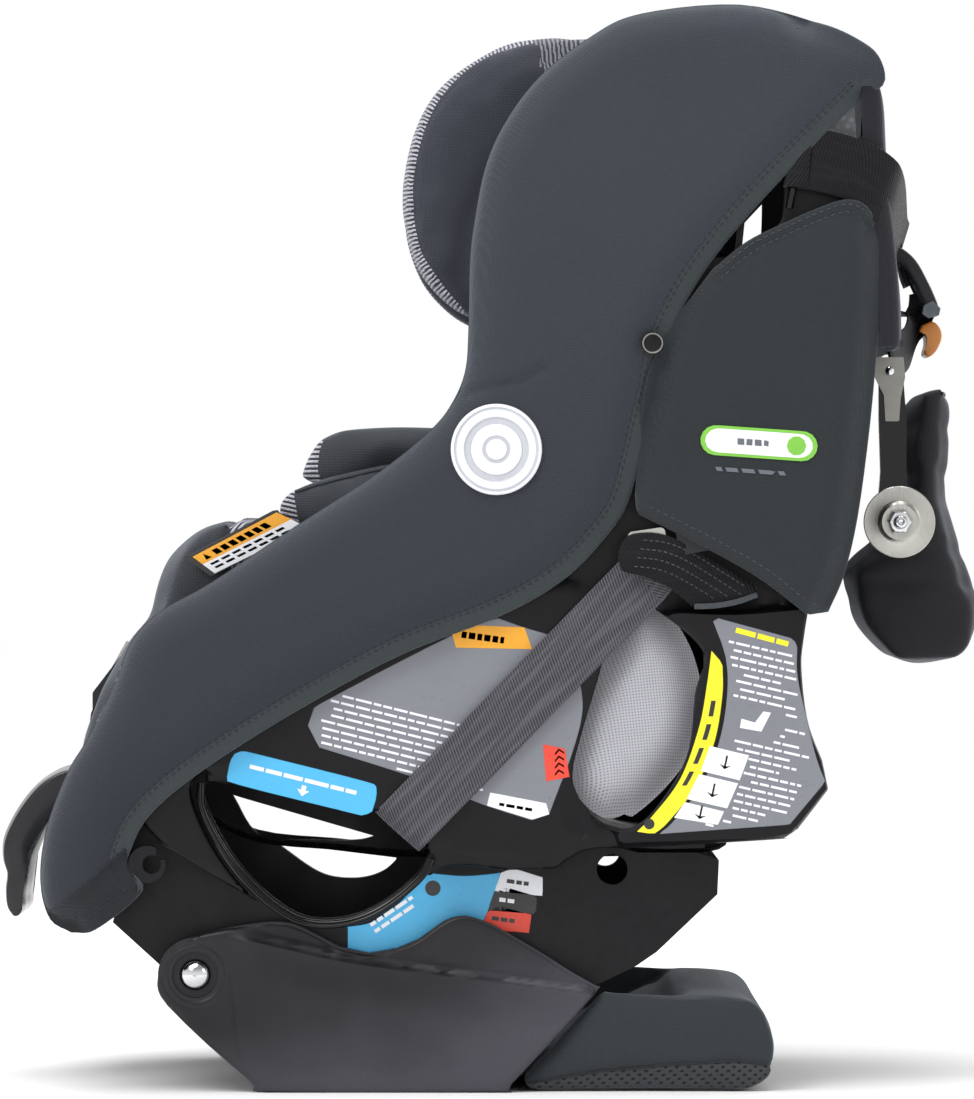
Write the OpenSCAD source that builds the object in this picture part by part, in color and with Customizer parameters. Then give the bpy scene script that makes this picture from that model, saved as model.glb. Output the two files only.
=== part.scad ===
// Convertible car seat, forward and rearward facing.
// X points to the seat's back, Y to the child's right, Z up; the origin lies on the base's underside.

/* [Base] */
// Distance of the base's side plates from the middle
base_half = 158; // [156:1:162]
// Thickness of the base's side plates
base_wall = 10; // [8:1:12]
// Radius of the recline rod
rod_r = 6; // [5:0.5:7]

/* [Recline] */
// Recline step between the low, middle and high notches, in degrees
recline_step = 3.6; // [3:0.2:4]
// Travel of the latch bar into a notch
latch_bite = 3; // [2:0.5:4]

/* [Shell] */
// Distance of the shell's side walls from the middle, to the outer face
wall_half = 184; // [180:1:186]
// Thickness of the shell's walls
wall = 5; // [4:0.5:6]
// Distance of the under shell's side walls from the middle, to the outer face
under_half = 151.5; // [148:0.5:152]
// Width of the seat belt and harness webbing
web_w = 38; // [34:1:40]
// Thickness of the webbing
web_t = 1.6; // [1.2:0.1:2]

/* [Soft parts] */
// Outer face of the side covers, from the middle
cover_half = 206; // [202:1:212]
// Thickness of the storage flaps
flap_t = 3; // [2:0.5:4]

/* [Headrest] */
// Half of the headrest's width inside its cover
head_half = 138; // [130:1:142]
// Lean of the back, in degrees from upright
back_lean = 6; // [5:0.5:7]

/* [Hidden] */
$fn = 48;

gap = 0.4;                    // clearance between neighbours that move or are soft
run = 0.06;                   // radial clearance of a running fit
pivot = [-188, 75];           // recline axis, in the XZ plane
latch = [0, 70];              // latch bar, released
latch_r = 4;
panel_in = wall_half - wall - 0.3;    // half width of what spans between the shell's sides
lining_in = 157;              // inner face of the covers' linings
lining_out = 163;
black = [0.09, 0.09, 0.1];
dark_plastic = [0.16, 0.16, 0.18];
steel = [0.7, 0.71, 0.72];
cloth = [0.24, 0.26, 0.29];
webbing = [0.2, 0.2, 0.21];
mesh_grey = [0.6, 0.6, 0.62];
signal_red = [0.75, 0.12, 0.1];

// ---- outlines in the XZ plane ----

// Catmull-Rom point between b and c
function blend(a, b, c, d, t) =
    0.5 * (2 * b + (c - a) * t + (2 * a - 5 * b + 4 * c - d) * t * t + (3 * b - a - 3 * c + d) * t * t * t);

// Smooth closed loop through the points
function loop(p, n = 5) = [for (i = [0 : len(p) - 1], k = [0 : n - 1])
    blend(p[(i + len(p) - 1) % len(p)], p[i], p[(i + 1) % len(p)], p[(i + 2) % len(p)], k / n)];

// Smooth open path through the points
function path(p, n = 5) = concat([for (i = [0 : len(p) - 2], k = [0 : n - 1])
    blend(p[max(i - 1, 0)], p[i], p[i + 1], p[min(i + 2, len(p) - 1)], k / n)], [p[len(p) - 1]]);

function unit(v) = v / norm(v);
function shifted(p, v) = [for (q = p) q + v];
function reversed(p) = [for (i = [len(p) - 1 : -1 : 0]) p[i]];

// Left-hand normal of a path at its point i
function side_of(p, i) =
    let (d = unit(p[min(i + 1, len(p) - 1)] - p[max(i - 1, 0)])) [-d[1], d[0]];

// A path moved to its left by t
function beside(p, t) = [for (i = [0 : len(p) - 1]) p[i] + t * side_of(p, i)];

// Strip of thickness t on the left of a path
function ribbon(p, t) = concat(p, reversed(beside(p, t)));

// An XZ outline drawn out along Y
module across(y0, y1) {
    translate([0, y1, 0]) rotate([90, 0, 0]) linear_extrude(y1 - y0) children();
}

// The same outline on the left (-1) or the right (1)
module on_side(s, y0, y1) {
    if (s < 0) across(-y1, -y0) children();
    else across(y0, y1) children();
}

module both(y0, y1) {
    for (s = [-1, 1]) on_side(s, y0, y1) children();
}

module rounded(r) {
    offset(r = r, $fn = 24) offset(delta = -r) children();
}

module at_xz(p) {
    translate([p[0], p[1]]) children();
}

// Turned about the recline axis by an angle, in the XZ plane
module reclined(a) {
    at_xz(pivot) rotate(-a) at_xz(-pivot) children();
}

// Rod along Y centred on the middle
module rod(p, r, half, fn = 48) {
    translate([p[0], -half, p[1]]) rotate([-90, 0, 0]) cylinder(r = r, h = 2 * half, $fn = fn);
}

// Strip of webbing that runs along Y between two places, each [x, y, z] and seen edge-on in the XZ plane
module crossing(a, b, tilt, w = 38) {
    hull() for (p = [a, b]) translate(p) rotate([0, tilt, 0]) cube([web_t, 0.4, w], center = true);
}

base_outline = [[-205, 92], [-212, 75], [-206, 55], [-152, 6], [-140, 0], [8, 0], [15, 4], [69, 62], [70, 68],
    [54, 77], [37, 88], [20, 98], [2, 108], [-14, 113], [-27, 110], [-44, 98], [-58, 92], [-76, 89],
    [-95, 93], [-112, 102], [-126, 108], [-142, 109], [-168, 105], [-192, 99]];

// Window of the rearward-facing belt path
rear_window = loop([[-181, 199], [-150, 195], [-100, 186], [-62, 178], [-41, 163], [-40, 147], [-56, 130],
    [-76, 117], [-98, 111], [-122, 114], [-146, 131], [-166, 155], [-180, 182]], 3);

// Window of the forward-facing belt path
front_window = loop([[90, 318], [113, 307], [139, 283], [134, 258], [130, 222], [118, 196], [98, 173], [76, 170],
    [61, 186], [55, 204], [61, 231], [72, 268], [80, 298]], 3);

// Hole in the side behind the back, where the tether strap is tied
tether_hole = [[148, 538], [166, 542], [184, 556], [189, 564], [190, 600], [206, 613], [240, 613], [242, 645],
    [200, 652], [170, 620]];

side_outline = [[-207, 157], [-126, 110], [-98, 101], [-80, 104], [-66, 112], [-55, 121], [-46, 131], [-40, 138],
    [-22, 146], [12, 143], [44, 144], [64, 156], [92, 157], [190, 163], [200, 170], [219, 195], [215, 214],
    [206, 238], [202, 269], [203, 290], [212, 340], [230, 420], [243, 520], [246, 560], [244, 620], [232, 650],
    [205, 672], [162, 687], [100, 681], [70, 667], [42, 642], [22, 616], [10, 589], [3, 556], [0, 528], [-1, 487],
    [-5, 452], [-18, 428], [-62, 387], [-113, 354], [-172, 315], [-200, 297], [-216, 280], [-227, 252],
    [-236, 215], [-232, 185]];

belt_guide = [[118, 196], [98, 173], [80, 170], [84, 158], [150, 160], [190, 163], [201, 170], [221, 195],
    [217, 214], [208, 238], [204, 269], [205, 290], [208, 314], [160, 310], [122, 311], [113, 307], [139, 283],
    [134, 258], [130, 222]];

cover_top = [[-281, 112], [-287, 137], [-283, 170], [-270, 205], [-257, 227], [-241, 259], [-228, 291],
    [-209, 310], [-177, 328], [-120, 366], [-69, 399], [-36, 426], [-22, 444], [-14, 464], [-12, 490], [-11, 534],
    [-8, 560], [-1, 595], [12, 624], [34, 653], [66, 678], [98, 693], [162, 699], [213, 687], [240, 675],
    [252, 664], [255, 648], [242, 640]];
cover_bottom = [[223, 621], [200, 598], [165, 560], [136, 522], [116, 483], [108, 448], [101, 419], [90, 378],
    [72, 352], [47, 328], [8, 306], [-56, 281], [-126, 243], [-184, 206], [-216, 179], [-228, 158], [-230, 145],
    [-221, 130], [-251, 105], [-267, 103]];
cover_outline = concat(cover_top, cover_bottom);

pan_path = path([[-252, 112], [-251, 160], [-243, 225], [-230, 262], [-210, 283], [-178, 290], [-120, 276],
    [-60, 250], [0, 222], [46, 196], [58, 178], [76, 163], [100, 157], [140, 157]], 3);
pan_t = 4;

// Where the back panel crosses a height, on its straight stretch
function back_x(z) = 160 + (z - 548) * tan(back_lean);
back_path = path([[146, 160], [149, 220], [149, 290], [146.5, 350], [back_x(410), 410], [back_x(487), 487],
    [back_x(570), 570], [back_x(656), 656]], 3);
back_t = 4.5;

rear_path = [[172, 164], [186, 168], [203, 186], [212, 200], [206, 222], [199, 245], [196, 270], [197, 300],
    [206, 345], [221, 410], [228, 448]];

under_path = [[-232, 150], [-242, 108], [-209, 78], [-202, 58], [-186, 48], [-148, 41], [0, 42], [60, 62],
    [97, 80], [110, 89], [149, 126], [150, 148]];
under_outline = concat(under_path, [[136, 153], [98, 153], [74, 159], [56, 175], [43, 193], [-3, 217],
    [-62, 245], [-122, 271], [-176, 285], [-206, 278], [-226, 258], [-238, 222]]);

up = [sin(back_lean), cos(back_lean)];      // direction in which the headrest rises
out = [-cos(back_lean), sin(back_lean)];    // direction from the back towards the child
head_foot = [back_x(487), 487];

// A point of the headrest: u along the back from its lower edge, v out from the back panel
function head(u, v) = head_foot + u * up + v * out;

// The headrest's own frame: X out of the back panel's rear, Z up along it
module in_head() {
    translate([head_foot[0], 0, head_foot[1]]) rotate([0, back_lean, 0]) children();
}

// ---- base ----

module base_frame() {
    plate = base_half + base_wall;
    color(dark_plastic) difference() {
        union() {
            both(base_half, plate) union() {
                polygon(base_outline);
                at_xz(pivot) circle(r = 24);
            }
            across(-plate, plate) polygon([[-146, 0], [10, 0], [14, 4], [-150, 4]]);
            across(-base_half, base_half) polygon([[-150, 4], [-140, 4], [-140, 10], [-154, 10]]);
            for (y = [-30, 0, 30]) translate([-141, y - 2, 3]) cube([140, 4, 6]);
            for (y = [-99, 61]) translate([-30, y, 3]) difference() {
                cube([26, 38, 9]);
                translate([-1, 4 - gap, 1]) cube([28, 30 + 2 * gap, 5]);
            }
            both(plate - 0.01, plate + 3) polygon([[-140, 0], [8, 0], [20, 12], [-150, 12]]);
            both(plate - 0.01, plate + 3) difference() {
                at_xz(pivot) circle(r = 24);
                at_xz(pivot) circle(r = 15);
            }
        }
        rod(pivot, rod_r + run, 200);
    }
}

module pivot_rod() {
    color(steel) rod(pivot, rod_r, base_half + base_wall + 2);
}

module pivot_caps() {
    bulge = 11.2;
    color(steel) for (s = [0, 1]) mirror([0, s, 0])
        translate([pivot[0], base_half + base_wall + 2, pivot[1]]) rotate([-90, 0, 0])
            rotate_extrude() intersection() {
                translate([0, -5]) circle(r = bulge);
                square([10, 8]);
            }
}

latch_swing = norm(latch - pivot);
latch_angle = atan2(latch[1] - pivot[1], latch[0] - pivot[0]);

// Centre of the notch k steps below the highest one
function notch(k) = let (a = latch_angle - k * recline_step)
    pivot + (latch_swing + latch_bite) * [cos(a), sin(a)];

module recline_racks() {
    color(steel) both(under_half + 0.8, base_half - 0.3) difference() {
        polygon([[-6, 34], [20, 28], [28, 60], [18, 88], [-2, 90]]);
        at_xz(pivot) circle(r = latch_swing + latch_r + gap, $fn = 180);
        for (k = [0 : 2]) at_xz(notch(k)) circle(r = latch_r + gap);
    }
}

// ---- stabiliser, the wedge behind the base ----

wedge = [[25, 0], [172, 0], [184, 8], [187, 30], [179, 53], [170, 60], [73, 65], [21, 8], [21, 3]];
wedge_half = 168;
wedge_skin_t = 4.6;
tongue_y = [-95, 65];

// The wedge, with the pocket that the reclined shell dips into
module wedge_solid(inset) {
    difference() {
        across(-wedge_half + inset, wedge_half - inset) rounded(3) offset(delta = -inset) polygon(wedge);
        across(-157 - inset, 157 + inset) offset(delta = inset) {
            for (k = [0 : 2]) reclined(k * recline_step) offset(delta = 3) polygon(under_outline);
            polygon([[18, 14], [60, 30], [120, 52], [120, 70], [10, 70]]);
        }
    }
}

module stabiliser_core() {
    color(dark_plastic) union() {
        wedge_solid(wedge_skin_t + gap);
        for (y = tongue_y) translate([-26, y, 4.5]) cube([70, 30, 4]);
    }
}

module wedge_skin() {
    difference() {
        wedge_solid(0);
        wedge_solid(wedge_skin_t);
        for (y = tongue_y) translate([0, y - 1, 3.5]) cube([46, 32, 6]);
    }
}

module stabiliser_cover() {
    color(cloth) difference() {
        wedge_skin();
        across(-200, 200) polygon([[0, -1], [200, -1], [200, 20.5], [0, 9.5]]);
    }
}

module stabiliser_mesh() {
    color(black) intersection() {
        wedge_skin();
        across(-200, 200) polygon([[0, -1], [200, -1], [200, 20.3], [0, 9.3]]);
    }
}

// ---- recline release ----

grip_path = path([[-278, 204], [-292, 198], [-305, 186], [-317, 169], [-321, 156], [-320, 142], [-320, 130],
    [-316, 120]], 4);

module recline_handle() {
    half = 62;
    color(dark_plastic) union() {
        across(-half, half) polygon(ribbon(grip_path, -6));
        for (y = [-half, half - 5]) across(y, y + 5) polygon(concat(grip_path,
            [[-308, 121], [-300, 140], [-284, 170], [-272, 196]]));
        across(-12, 12) polygon([[-290, 190], [-264, 176], [-262, 184], [-280, 199]]);
    }
}

module pull_link() {
    color(steel) union() {
        across(-11, 11) polygon(ribbon([[-8.4, 77], [-190, 100], [-240, 158], [-262, 181]], 2.5));
        for (y = [-11, 7]) across(y, y + 4) polygon([[-8.4, 66], [-4.4, 66], [-4.4, 80], [-8.4, 80]]);
    }
}

module latch_bar() {
    color(steel) rod(latch, latch_r, base_half - 0.8);
}

// Compressed, as when the handle is pulled
module latch_springs() {
    color(steel) for (y = [-60, 60]) translate([-64, y, latch[1]]) rotate([0, 90, 0]) difference() {
        cylinder(r = 6, h = 49);
        translate([0, 0, -1]) cylinder(r = 4.5, h = 51);
    }
}

// ---- shell ----

module shell_side(s) {
    rim_in = base_half + base_wall + 4.5;
    color(black) union() {
        on_side(s, wall_half - wall, wall_half) difference() {
            rounded(3) polygon(side_outline);
            polygon(rear_window);
            polygon(front_window);
            polygon(tether_hole);
        }
        on_side(s, wall_half - 0.01, wall_half + 8) rounded(1) polygon(belt_guide);
        on_side(s, rim_in, wall_half + 4) difference() {
            offset(r = 7, $fn = 24) polygon(rear_window);
            polygon(rear_window);
            translate([-185, 176]) rotate(-9) square([150, 60]);
            translate([-50, 140]) square([80, 60]);
        }
    }
}

module seat_pan() {
    color(black) difference() {
        across(-panel_in, panel_in) polygon(ribbon(pan_path, pan_t));
        translate([-76, -22, 236]) cube([8, 44, 40]);
        translate([-252, -21.4, 226]) cube([44, 42.8, 66]);
        translate([-270, -14, 150]) cube([30, 28, 34]);
    }
}

slot_in = 28;
slot_out = 72;

module back_panel() {
    color(black) difference() {
        across(-panel_in, panel_in) polygon(ribbon(back_path, -back_t));
        both(slot_in, slot_out) polygon(ribbon([[back_x(456), 456], [back_x(646), 646]], 40));
        both(slot_in, slot_out) polygon(ribbon([[back_x(456), 456], [back_x(646), 646]], -40));
        translate([120, -25, 176]) cube([50, 50, 9]);
    }
}

module rear_panel() {
    color(black) across(-panel_in, panel_in) polygon(ribbon(rear_path, 3));
}

module under_shell() {
    wall_in = under_half - wall;
    color(black) difference() {
        union() {
            both(wall_in, under_half) difference() {
                polygon(under_outline);
                polygon(rear_window);
            }
            across(-wall_in - 0.01, wall_in + 0.01) polygon(ribbon(under_path, wall));
            both(wall_in - 8, wall_in + 0.01) at_xz(pivot) circle(r = 14);
            both(wall_in - 4, wall_in + 0.01) at_xz([81, 142]) circle(r = 16.5);
        }
        rod(pivot, rod_r + run, 200);
        rod([81, 142], 10, 200);
        both(wall_in - 1, under_half + 1) hull() for (x = [-12, 5]) at_xz(latch + [x, 0]) circle(r = latch_r + 0.6);
        across(-14, 14) polygon([[-256, 182], [-230, 182], [-215, 128], [-256, 128]]);
    }
}

foam_outline = [[-180, 298], [-113, 342], [-58, 378], [-14, 420], [6, 450], [10, 489], [11, 530], [15, 556],
    [22, 586], [34, 610], [54, 638], [80, 658], [104, 669], [150, 674], [156, 640], [146, 560], [140, 480],
    [132, 400], [134, 330], [108, 325], [70, 330], [40, 300], [0, 282], [-60, 268], [-122, 290]];

module side_foam() {
    color("gainsboro") {
        both(lining_out + 0.4, panel_in - 0.4) polygon(foam_outline);
        both(lining_out + 0.4, panel_in - 0.4) polygon([[212, 606], [238, 604], [236, 644], [200, 660], [194, 640]]);
    }
}

// ---- lower anchor strap and its connectors, stowed under the flaps ----

strap_y = wall_half + 5;      // inner face of the strap along the sides

module anchor_strap() {
    color(webbing) union() {
        both(strap_y, strap_y + web_t)
            polygon([[92, 348], [118, 330], [109, 313], [-30, 157], [-44, 158], [-71, 179]]);
        across(-strap_y - 0.8, strap_y + 0.8) polygon(ribbon([[-43.5, 157.5], [-71, 178.5]], -web_t));
        both(strap_y + web_t + gap, strap_y + 3 * web_t + gap)
            polygon([[104, 356], [134, 349], [171, 333], [172, 318], [144, 313], [130, 313], [112, 326]]);
    }
}

module connector(s) {
    color(dark_plastic) on_side(s, strap_y + 3 * web_t + 2 * gap, cover_half - flap_t - 1) difference() {
        rounded(4) polygon([[118, 344], [182, 356], [180, 384], [112, 372]]);
        polygon([[114, 352], [122, 353], [120, 364], [112, 363]]);
        hull() for (x = [150, 166]) at_xz([x, 365]) circle(r = 6);
    }
}

module connector_jaws() {
    color(steel) both(strap_y + 9, strap_y + 12) difference() {
        rounded(3) polygon([[92, 338], [117, 342.4], [113.5, 363.5], [90, 360]]);
        at_xz([99, 349]) circle(r = 3.2);
        polygon([[84, 346], [99, 345.8], [99, 352.2], [84, 352]]);
    }
}

button_travel = 2.5;

module release_button(s) {
    outer = cover_half - flap_t - 0.5;
    color(signal_red) on_side(s, outer - 4, outer)
        hull() for (x = [152, 164]) at_xz([x, 365]) circle(r = 5.4, $fn = 32);
}

// ---- covers ----

module side_cover(s) {
    color(cloth) difference() {
        union() {
            on_side(s, wall_half + 9, cover_half) polygon(cover_outline);
            on_side(s, lining_in, wall_half + 9.01)
                polygon(ribbon([for (i = [0 : len(cover_top) - 4]) cover_top[i]], -7));
            on_side(s, lining_in, lining_out) difference() {
                polygon(cover_outline);
                polygon(concat(beside(pan_path, pan_t + 3), [[150, 60], [-400, 60], [-400, 112]]));
                polygon(concat(shifted(back_path, [-0.6, 0]), [[400, 656], [400, 160]]));
                translate([back_x(600) - 5, 540]) square([200, 130]);
            }
        }
        on_side(s, 0, wall_half + 0.5) polygon(concat([[-256.6, 100], [-256.6, 165], [-249, 226], [-235, 265],
            [-214, 288], [-190, 296], [-190, 100]]));
    }
}

flap_in = cover_half - flap_t - 0.2;

module storage_flap(s) {
    color(cloth) on_side(s, flap_in, cover_half - 0.2) difference() {
        polygon([[96, 372], [140, 350], [175, 330], [205, 307], [219, 309], [229, 332], [238, 370], [246, 430],
            [252, 500], [254, 540], [251, 556], [229, 570], [196, 562], [160, 542]]);
        offset(r = 0.8, $fn = 16) polygon(cover_outline);
    }
}

cushion_top = path([[-214, 300], [-207, 330], [-191, 360], [-168, 372], [-140, 365], [-110, 345], [-60, 316],
    [-10, 292], [26, 280]], 4);

module seat_cushion() {
    color(cloth) difference() {
        across(-150, 150) polygon(concat([for (p = beside(pan_path, pan_t + 0.6)) if (p[0] < 26 && p[1] > 118) p],
            [[28, 240]], reversed(cushion_top), [[-226, 290], [-245, 258], [-258, 222], [-265, 165], [-265, 119]]));
        translate([-84, -20, 220]) cube([18, 40, 100]);
        across(-29, 29) polygon([[-104, 326], [-60, 301], [-34, 336], [-40, 380], [-104, 380]]);
        translate([-300, -26, 100]) cube([88, 52, 260]);
    }
}

module back_cushion() {
    color(cloth) difference() {
        across(-152, 152) polygon([[31, 236], [66, 232], [92, 260], [108, 300], [116, 330], [140, 338],
            [back_x(400) - 2, 400], [back_x(476) - 2, 476], [115, 476], [100, 430], [86, 370], [64, 312], [31, 282]]);
        both(slot_in, slot_out) polygon([[108, 455], [170, 455], [170, 490], [108, 490]]);
    }
}

module path_lining() {
    color(mesh_grey) both(153, panel_in) polygon(loop([[60, 208], [66, 234], [76, 268], [84, 298], [94, 308],
        [108, 300], [118, 276], [119, 250], [115, 224], [102, 200], [84, 184], [68, 190]], 3));
}

module infant_insert() {
    color(cloth) both(88, 136) polygon(loop([[-126, 400], [-112, 424], [-92, 432], [-60, 435], [-20, 434], [30, 440],
        [64, 446], [76, 430], [56, 370], [20, 318], [-20, 318], [-60, 334], [-104, 364]], 3));
}

// ---- harness ----

strap_in = 31;                // inner edge of each harness strap at the shoulders
chest_path = path([[154, 463], [128, 468], [100, 452], [84, 410], [66, 362], [42, 324]], 4);

module harness_straps() {
    color(webbing) for (s = [0, 1]) mirror([0, s, 0]) union() {
        across(strap_in, strap_in + web_w) polygon(ribbon(chest_path, -web_t));
        hull() {
            translate([41.5, strap_in, 323]) cube([0.5, web_w, web_t]);
            translate([-6, 8, 316]) cube([0.5, web_w, web_t]);
        }
        across(strap_in, strap_in + web_w) polygon(ribbon([[153, 463], [162, 459], [168, 445], [176, 400],
            [184.6, 368], [183, 363]], -web_t));
    }
}

module shoulder_pads() {
    color(cloth) both(strap_in - 5.5, strap_in + web_w + 5.5)
        polygon(ribbon(beside([for (i = [8 : 17]) chest_path[i]], -web_t - gap), -12));
}

module harness_tongues() {
    color(steel) for (s = [0, 1]) mirror([0, s, 0]) translate([-6, 0, 316]) rotate([0, 12, 0]) difference() {
        union() {
            translate([-20, 5, 2.2]) cube([26, 44, 2.2]);
            translate([-44, 4, 2.2]) cube([26, 16, 2.2]);
        }
        translate([-2, 9, 0]) cube([3, 36, 6]);
    }
}

module buckle_housing() {
    color(black) difference() {
        across(-28, 28) rounded(5) polygon([[-98, 330], [-60, 308], [-38, 338], [-82, 364]]);
        across(-13.5, 13.5) translate([-70, 350]) rotate(-30) square([23, 26], center = true);
        across(-26, 26) polygon([[-60, 322], [-30, 318], [-30, 328], [-60, 331]]);
    }
}

module buckle_button() {
    color(signal_red) across(-13, 13) translate([-69, 351.4]) rotate(-30) square([22, 16], center = true);
}

module crotch_strap() {
    color(webbing) across(-19, 19) polygon(ribbon([[-71, 240], [-72, 290], [-80, 318]], 3));
}

adjuster_pin = [-238.5, 284.5];

module adjuster_housing() {
    color(black) difference() {
        across(-21, 21) rounded(2) polygon([[-233, 292], [-262, 254], [-262, 232], [-248, 234], [-240, 262], [-220, 286]]);
        across(-14, 14) polygon([[-274, 296], [-231, 296], [-231, 286], [-248, 252], [-248, 226], [-274, 226]]);
        rod(adjuster_pin, 1.5 + run, 30);
    }
}

module adjuster_lever() {
    color(steel) union() {
        across(-13, 13) polygon([[-236, 284], [-251, 258], [-255, 261], [-240, 288]]);
        rod(adjuster_pin, 1.5, 19);
    }
}

module adjuster_strap() {
    color(webbing) union() {
        across(-12.5, 12.5) polygon(ribbon(path([[-250, 244], [-266, 243], [-271, 230], [-272, 210]], 4), web_t));
        across(-12.5, 12.5) polygon(ribbon(path([[-230, 250], [-214, 230], [-190, 180], [-154, 158], [-100, 152],
            [-56, 148], [20, 147], [100, 148], [150, 151], [159, 158], [163, 172], [166, 200], [171, 270],
            [173, 329]], 3), web_t));
    }
}

module harness_yoke() {
    color(steel) difference() {
        across(-68, 68) polygon([[174, 330], [177, 330], [186, 372], [183, 372]]);
        both(strap_in - 0.5, 64) polygon([[170, 358], [195, 358], [195, 366], [170, 366]]);
    }
}

// ---- top tether ----

tether_bar_x = 194;

module tether_bars() {
    color(steel) for (s = [-1, 1]) translate([tether_bar_x, s * (wall_half + 4), 568]) rotate([0, 10, 0])
        cylinder(r = 2.5, h = 46);
}

module tether_straps() {
    color(webbing) union() {
        both(wall_half + 7, wall_half + 7 + web_t) polygon([[196, 571], [204, 611], [252, 598], [258, 590],
            [257, 560], [246, 566]]);
        for (s = [-1, 1]) crossing([257, s * (wall_half + 8), 577], [274, s * 14, 548], 8);
        across(-19, 19) polygon(ribbon([[273, 566], [276, 530]], -2 * web_t));
        crossing([282, 0, 498], [278, -30, 478], 6);
        crossing([278, -30, 478], [266, -74, 484], 10);
    }
}

module tether_adjuster() {
    color(dark_plastic) across(-23, 23) polygon([[280, 541], [285, 541], [300, 512], [297, 504], [289, 506], [282, 524]]);
}

module adjuster_cam() {
    color([0.85, 0.5, 0.1]) across(-20, 20) polygon([[288, 502], [296, 500], [302, 492], [297, 480], [289, 489]]);
}

hook_y = 84;
latch_pin = [264, 466];
fitting = [270, 367];

module tether_hook() {
    color(dark_plastic) across(-hook_y - 1, -hook_y + 8) difference() {
        rounded(2) polygon([[257, 474], [272, 474], [275, 434], [275, 392], [280, 384], [280, 366], [262, 362],
            [256, 376], [258, 400], [257, 434]]);
        at_xz(fitting) circle(r = 4.3);
        at_xz(latch_pin) circle(r = 2 + run);
    }
}

module hook_latch() {
    color(steel) union() {
        across(-hook_y - 4.4, -hook_y - 1.4) rounded(1) polygon([[254, 475], [273, 475], [274, 462], [271, 448],
            [270, 433], [261, 433], [260, 450], [254, 462]]);
        translate([latch_pin[0], -hook_y - 5.4, latch_pin[1]]) rotate([-90, 0, 0]) cylinder(r = 2, h = 14);
    }
}

module anchor_fitting() {
    color(steel) translate([fitting[0], -hook_y - 6, fitting[1]]) rotate([90, 0, 0]) difference() {
        union() {
            cylinder(r = 23.5, h = 2.5);
            cylinder(r = 12, h = 5);
        }
        translate([0, 0, -1]) cylinder(r = 4 + run, h = 10);
    }
}

module anchor_bolt() {
    color(steel) translate([fitting[0], -hook_y - 6, fitting[1]]) rotate([90, 0, 0]) union() {
        translate([0, 0, 5.1]) cylinder(r = 7.5, h = 6.5, $fn = 6);
        translate([0, 0, -16]) cylinder(r = 4, h = 38);
    }
}

module tether_bag() {
    color(black) across(-74, 90) polygon([[283, 458], [300, 460], [301, 445], [300, 408], [298, 385], [305, 360],
        [313, 334], [323, 312], [323, 300], [319, 280], [310, 274], [268, 274], [246, 300], [240, 336],
        [262, 352], [282, 392], [278, 420]]);
}

// ---- trim ----

module side_badges() {
    color("white") both(cover_half + 0.2, cover_half + 3) at_xz([6, 413]) circle(r = 29);
}

module snap_studs() {
    color(black) both(cover_half + 0.2, cover_half + 3) at_xz([106, 481]) circle(r = 6.5);
}

module cover_hooks() {
    color(black) both(wall_half + 0.5, wall_half + 8.5) difference() {
        at_xz([-218, 147]) circle(r = 12);
        at_xz([-215, 147]) circle(r = 6);
        translate([-212, 150]) square([14, 10]);
    }
}

// ---- headrest ----

head_wall = head_half - 22;   // outer face of the headrest shell's wings

module headrest_shell() {
    color(black) union() {
        across(-head_wall, head_wall) polygon([head(0, 10), head(186, 10), head(186, 14), head(0, 14)]);
        both(head_wall - 4, head_wall) polygon([head(0, 10), head(186, 10), head(182, 90), head(160, 160),
            head(120, 190), head(60, 196), head(10, 160)]);
    }
}

module headrest_pad() {
    color(cloth) difference() {
        across(-head_half, head_half) polygon(loop([head(-6, 20), head(2, 8.6), head(100, 8.6), head(186, 8.6),
            head(194, 20), head(192, 60), head(188, 116), head(173, 168), head(130, 209), head(77, 218),
            head(32, 208), head(8, 190), head(-8, 160), head(-10, 90)], 3));
        across(-head_wall - 0.5, head_wall + 0.5) polygon([head(-30, -5), head(250, -5), head(250, 20), head(-30, 20)]);
        across(-head_wall + 34, head_wall - 34) polygon([head(-40, 44), head(250, 44), head(260, 260), head(-40, 260)]);
        both(head_wall - 4.6, head_wall + 0.6) polygon([head(-0.6, 2), head(187, 2), head(182.8, 91),
            head(160.8, 161), head(120.6, 191), head(60, 197), head(9.4, 161)]);
    }
}

module harness_carriage() {
    color(dark_plastic) union() {
        across(-80, 80) polygon([head(2, -16), head(38, -16), head(38, -9), head(2, -9)]);
        both(47, 53) polygon([head(8, -10), head(34, -10), head(34, 9.6), head(8, 9.6)]);
        in_head() difference() {
            for (s = [-1, 1], z = [6, 31]) translate([15, s * lever_pin[1] - 6, z]) cube([11, 12, 5]);
            for (s = [-1, 1]) translate([lever_pin[0], s * lever_pin[1], 0]) cylinder(r = 2 + run, h = 60);
        }
    }
}

lever_pin = [21, 60];         // behind the back panel's front face and off the middle

module height_lever(s) {
    color("dimgray") in_head() union() {
        translate([0, 0, 12]) linear_extrude(18) polygon([for (p = [[17.5, 66], [25, 66], [28, 54], [43, 42],
            [43, 35], [39, 34], [24, 46], [17.5, 56]]) [p[0], s * p[1]]]);
        translate([lever_pin[0], s * lever_pin[1], 7]) cylinder(r = 2, h = 28);
    }
}

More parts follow.
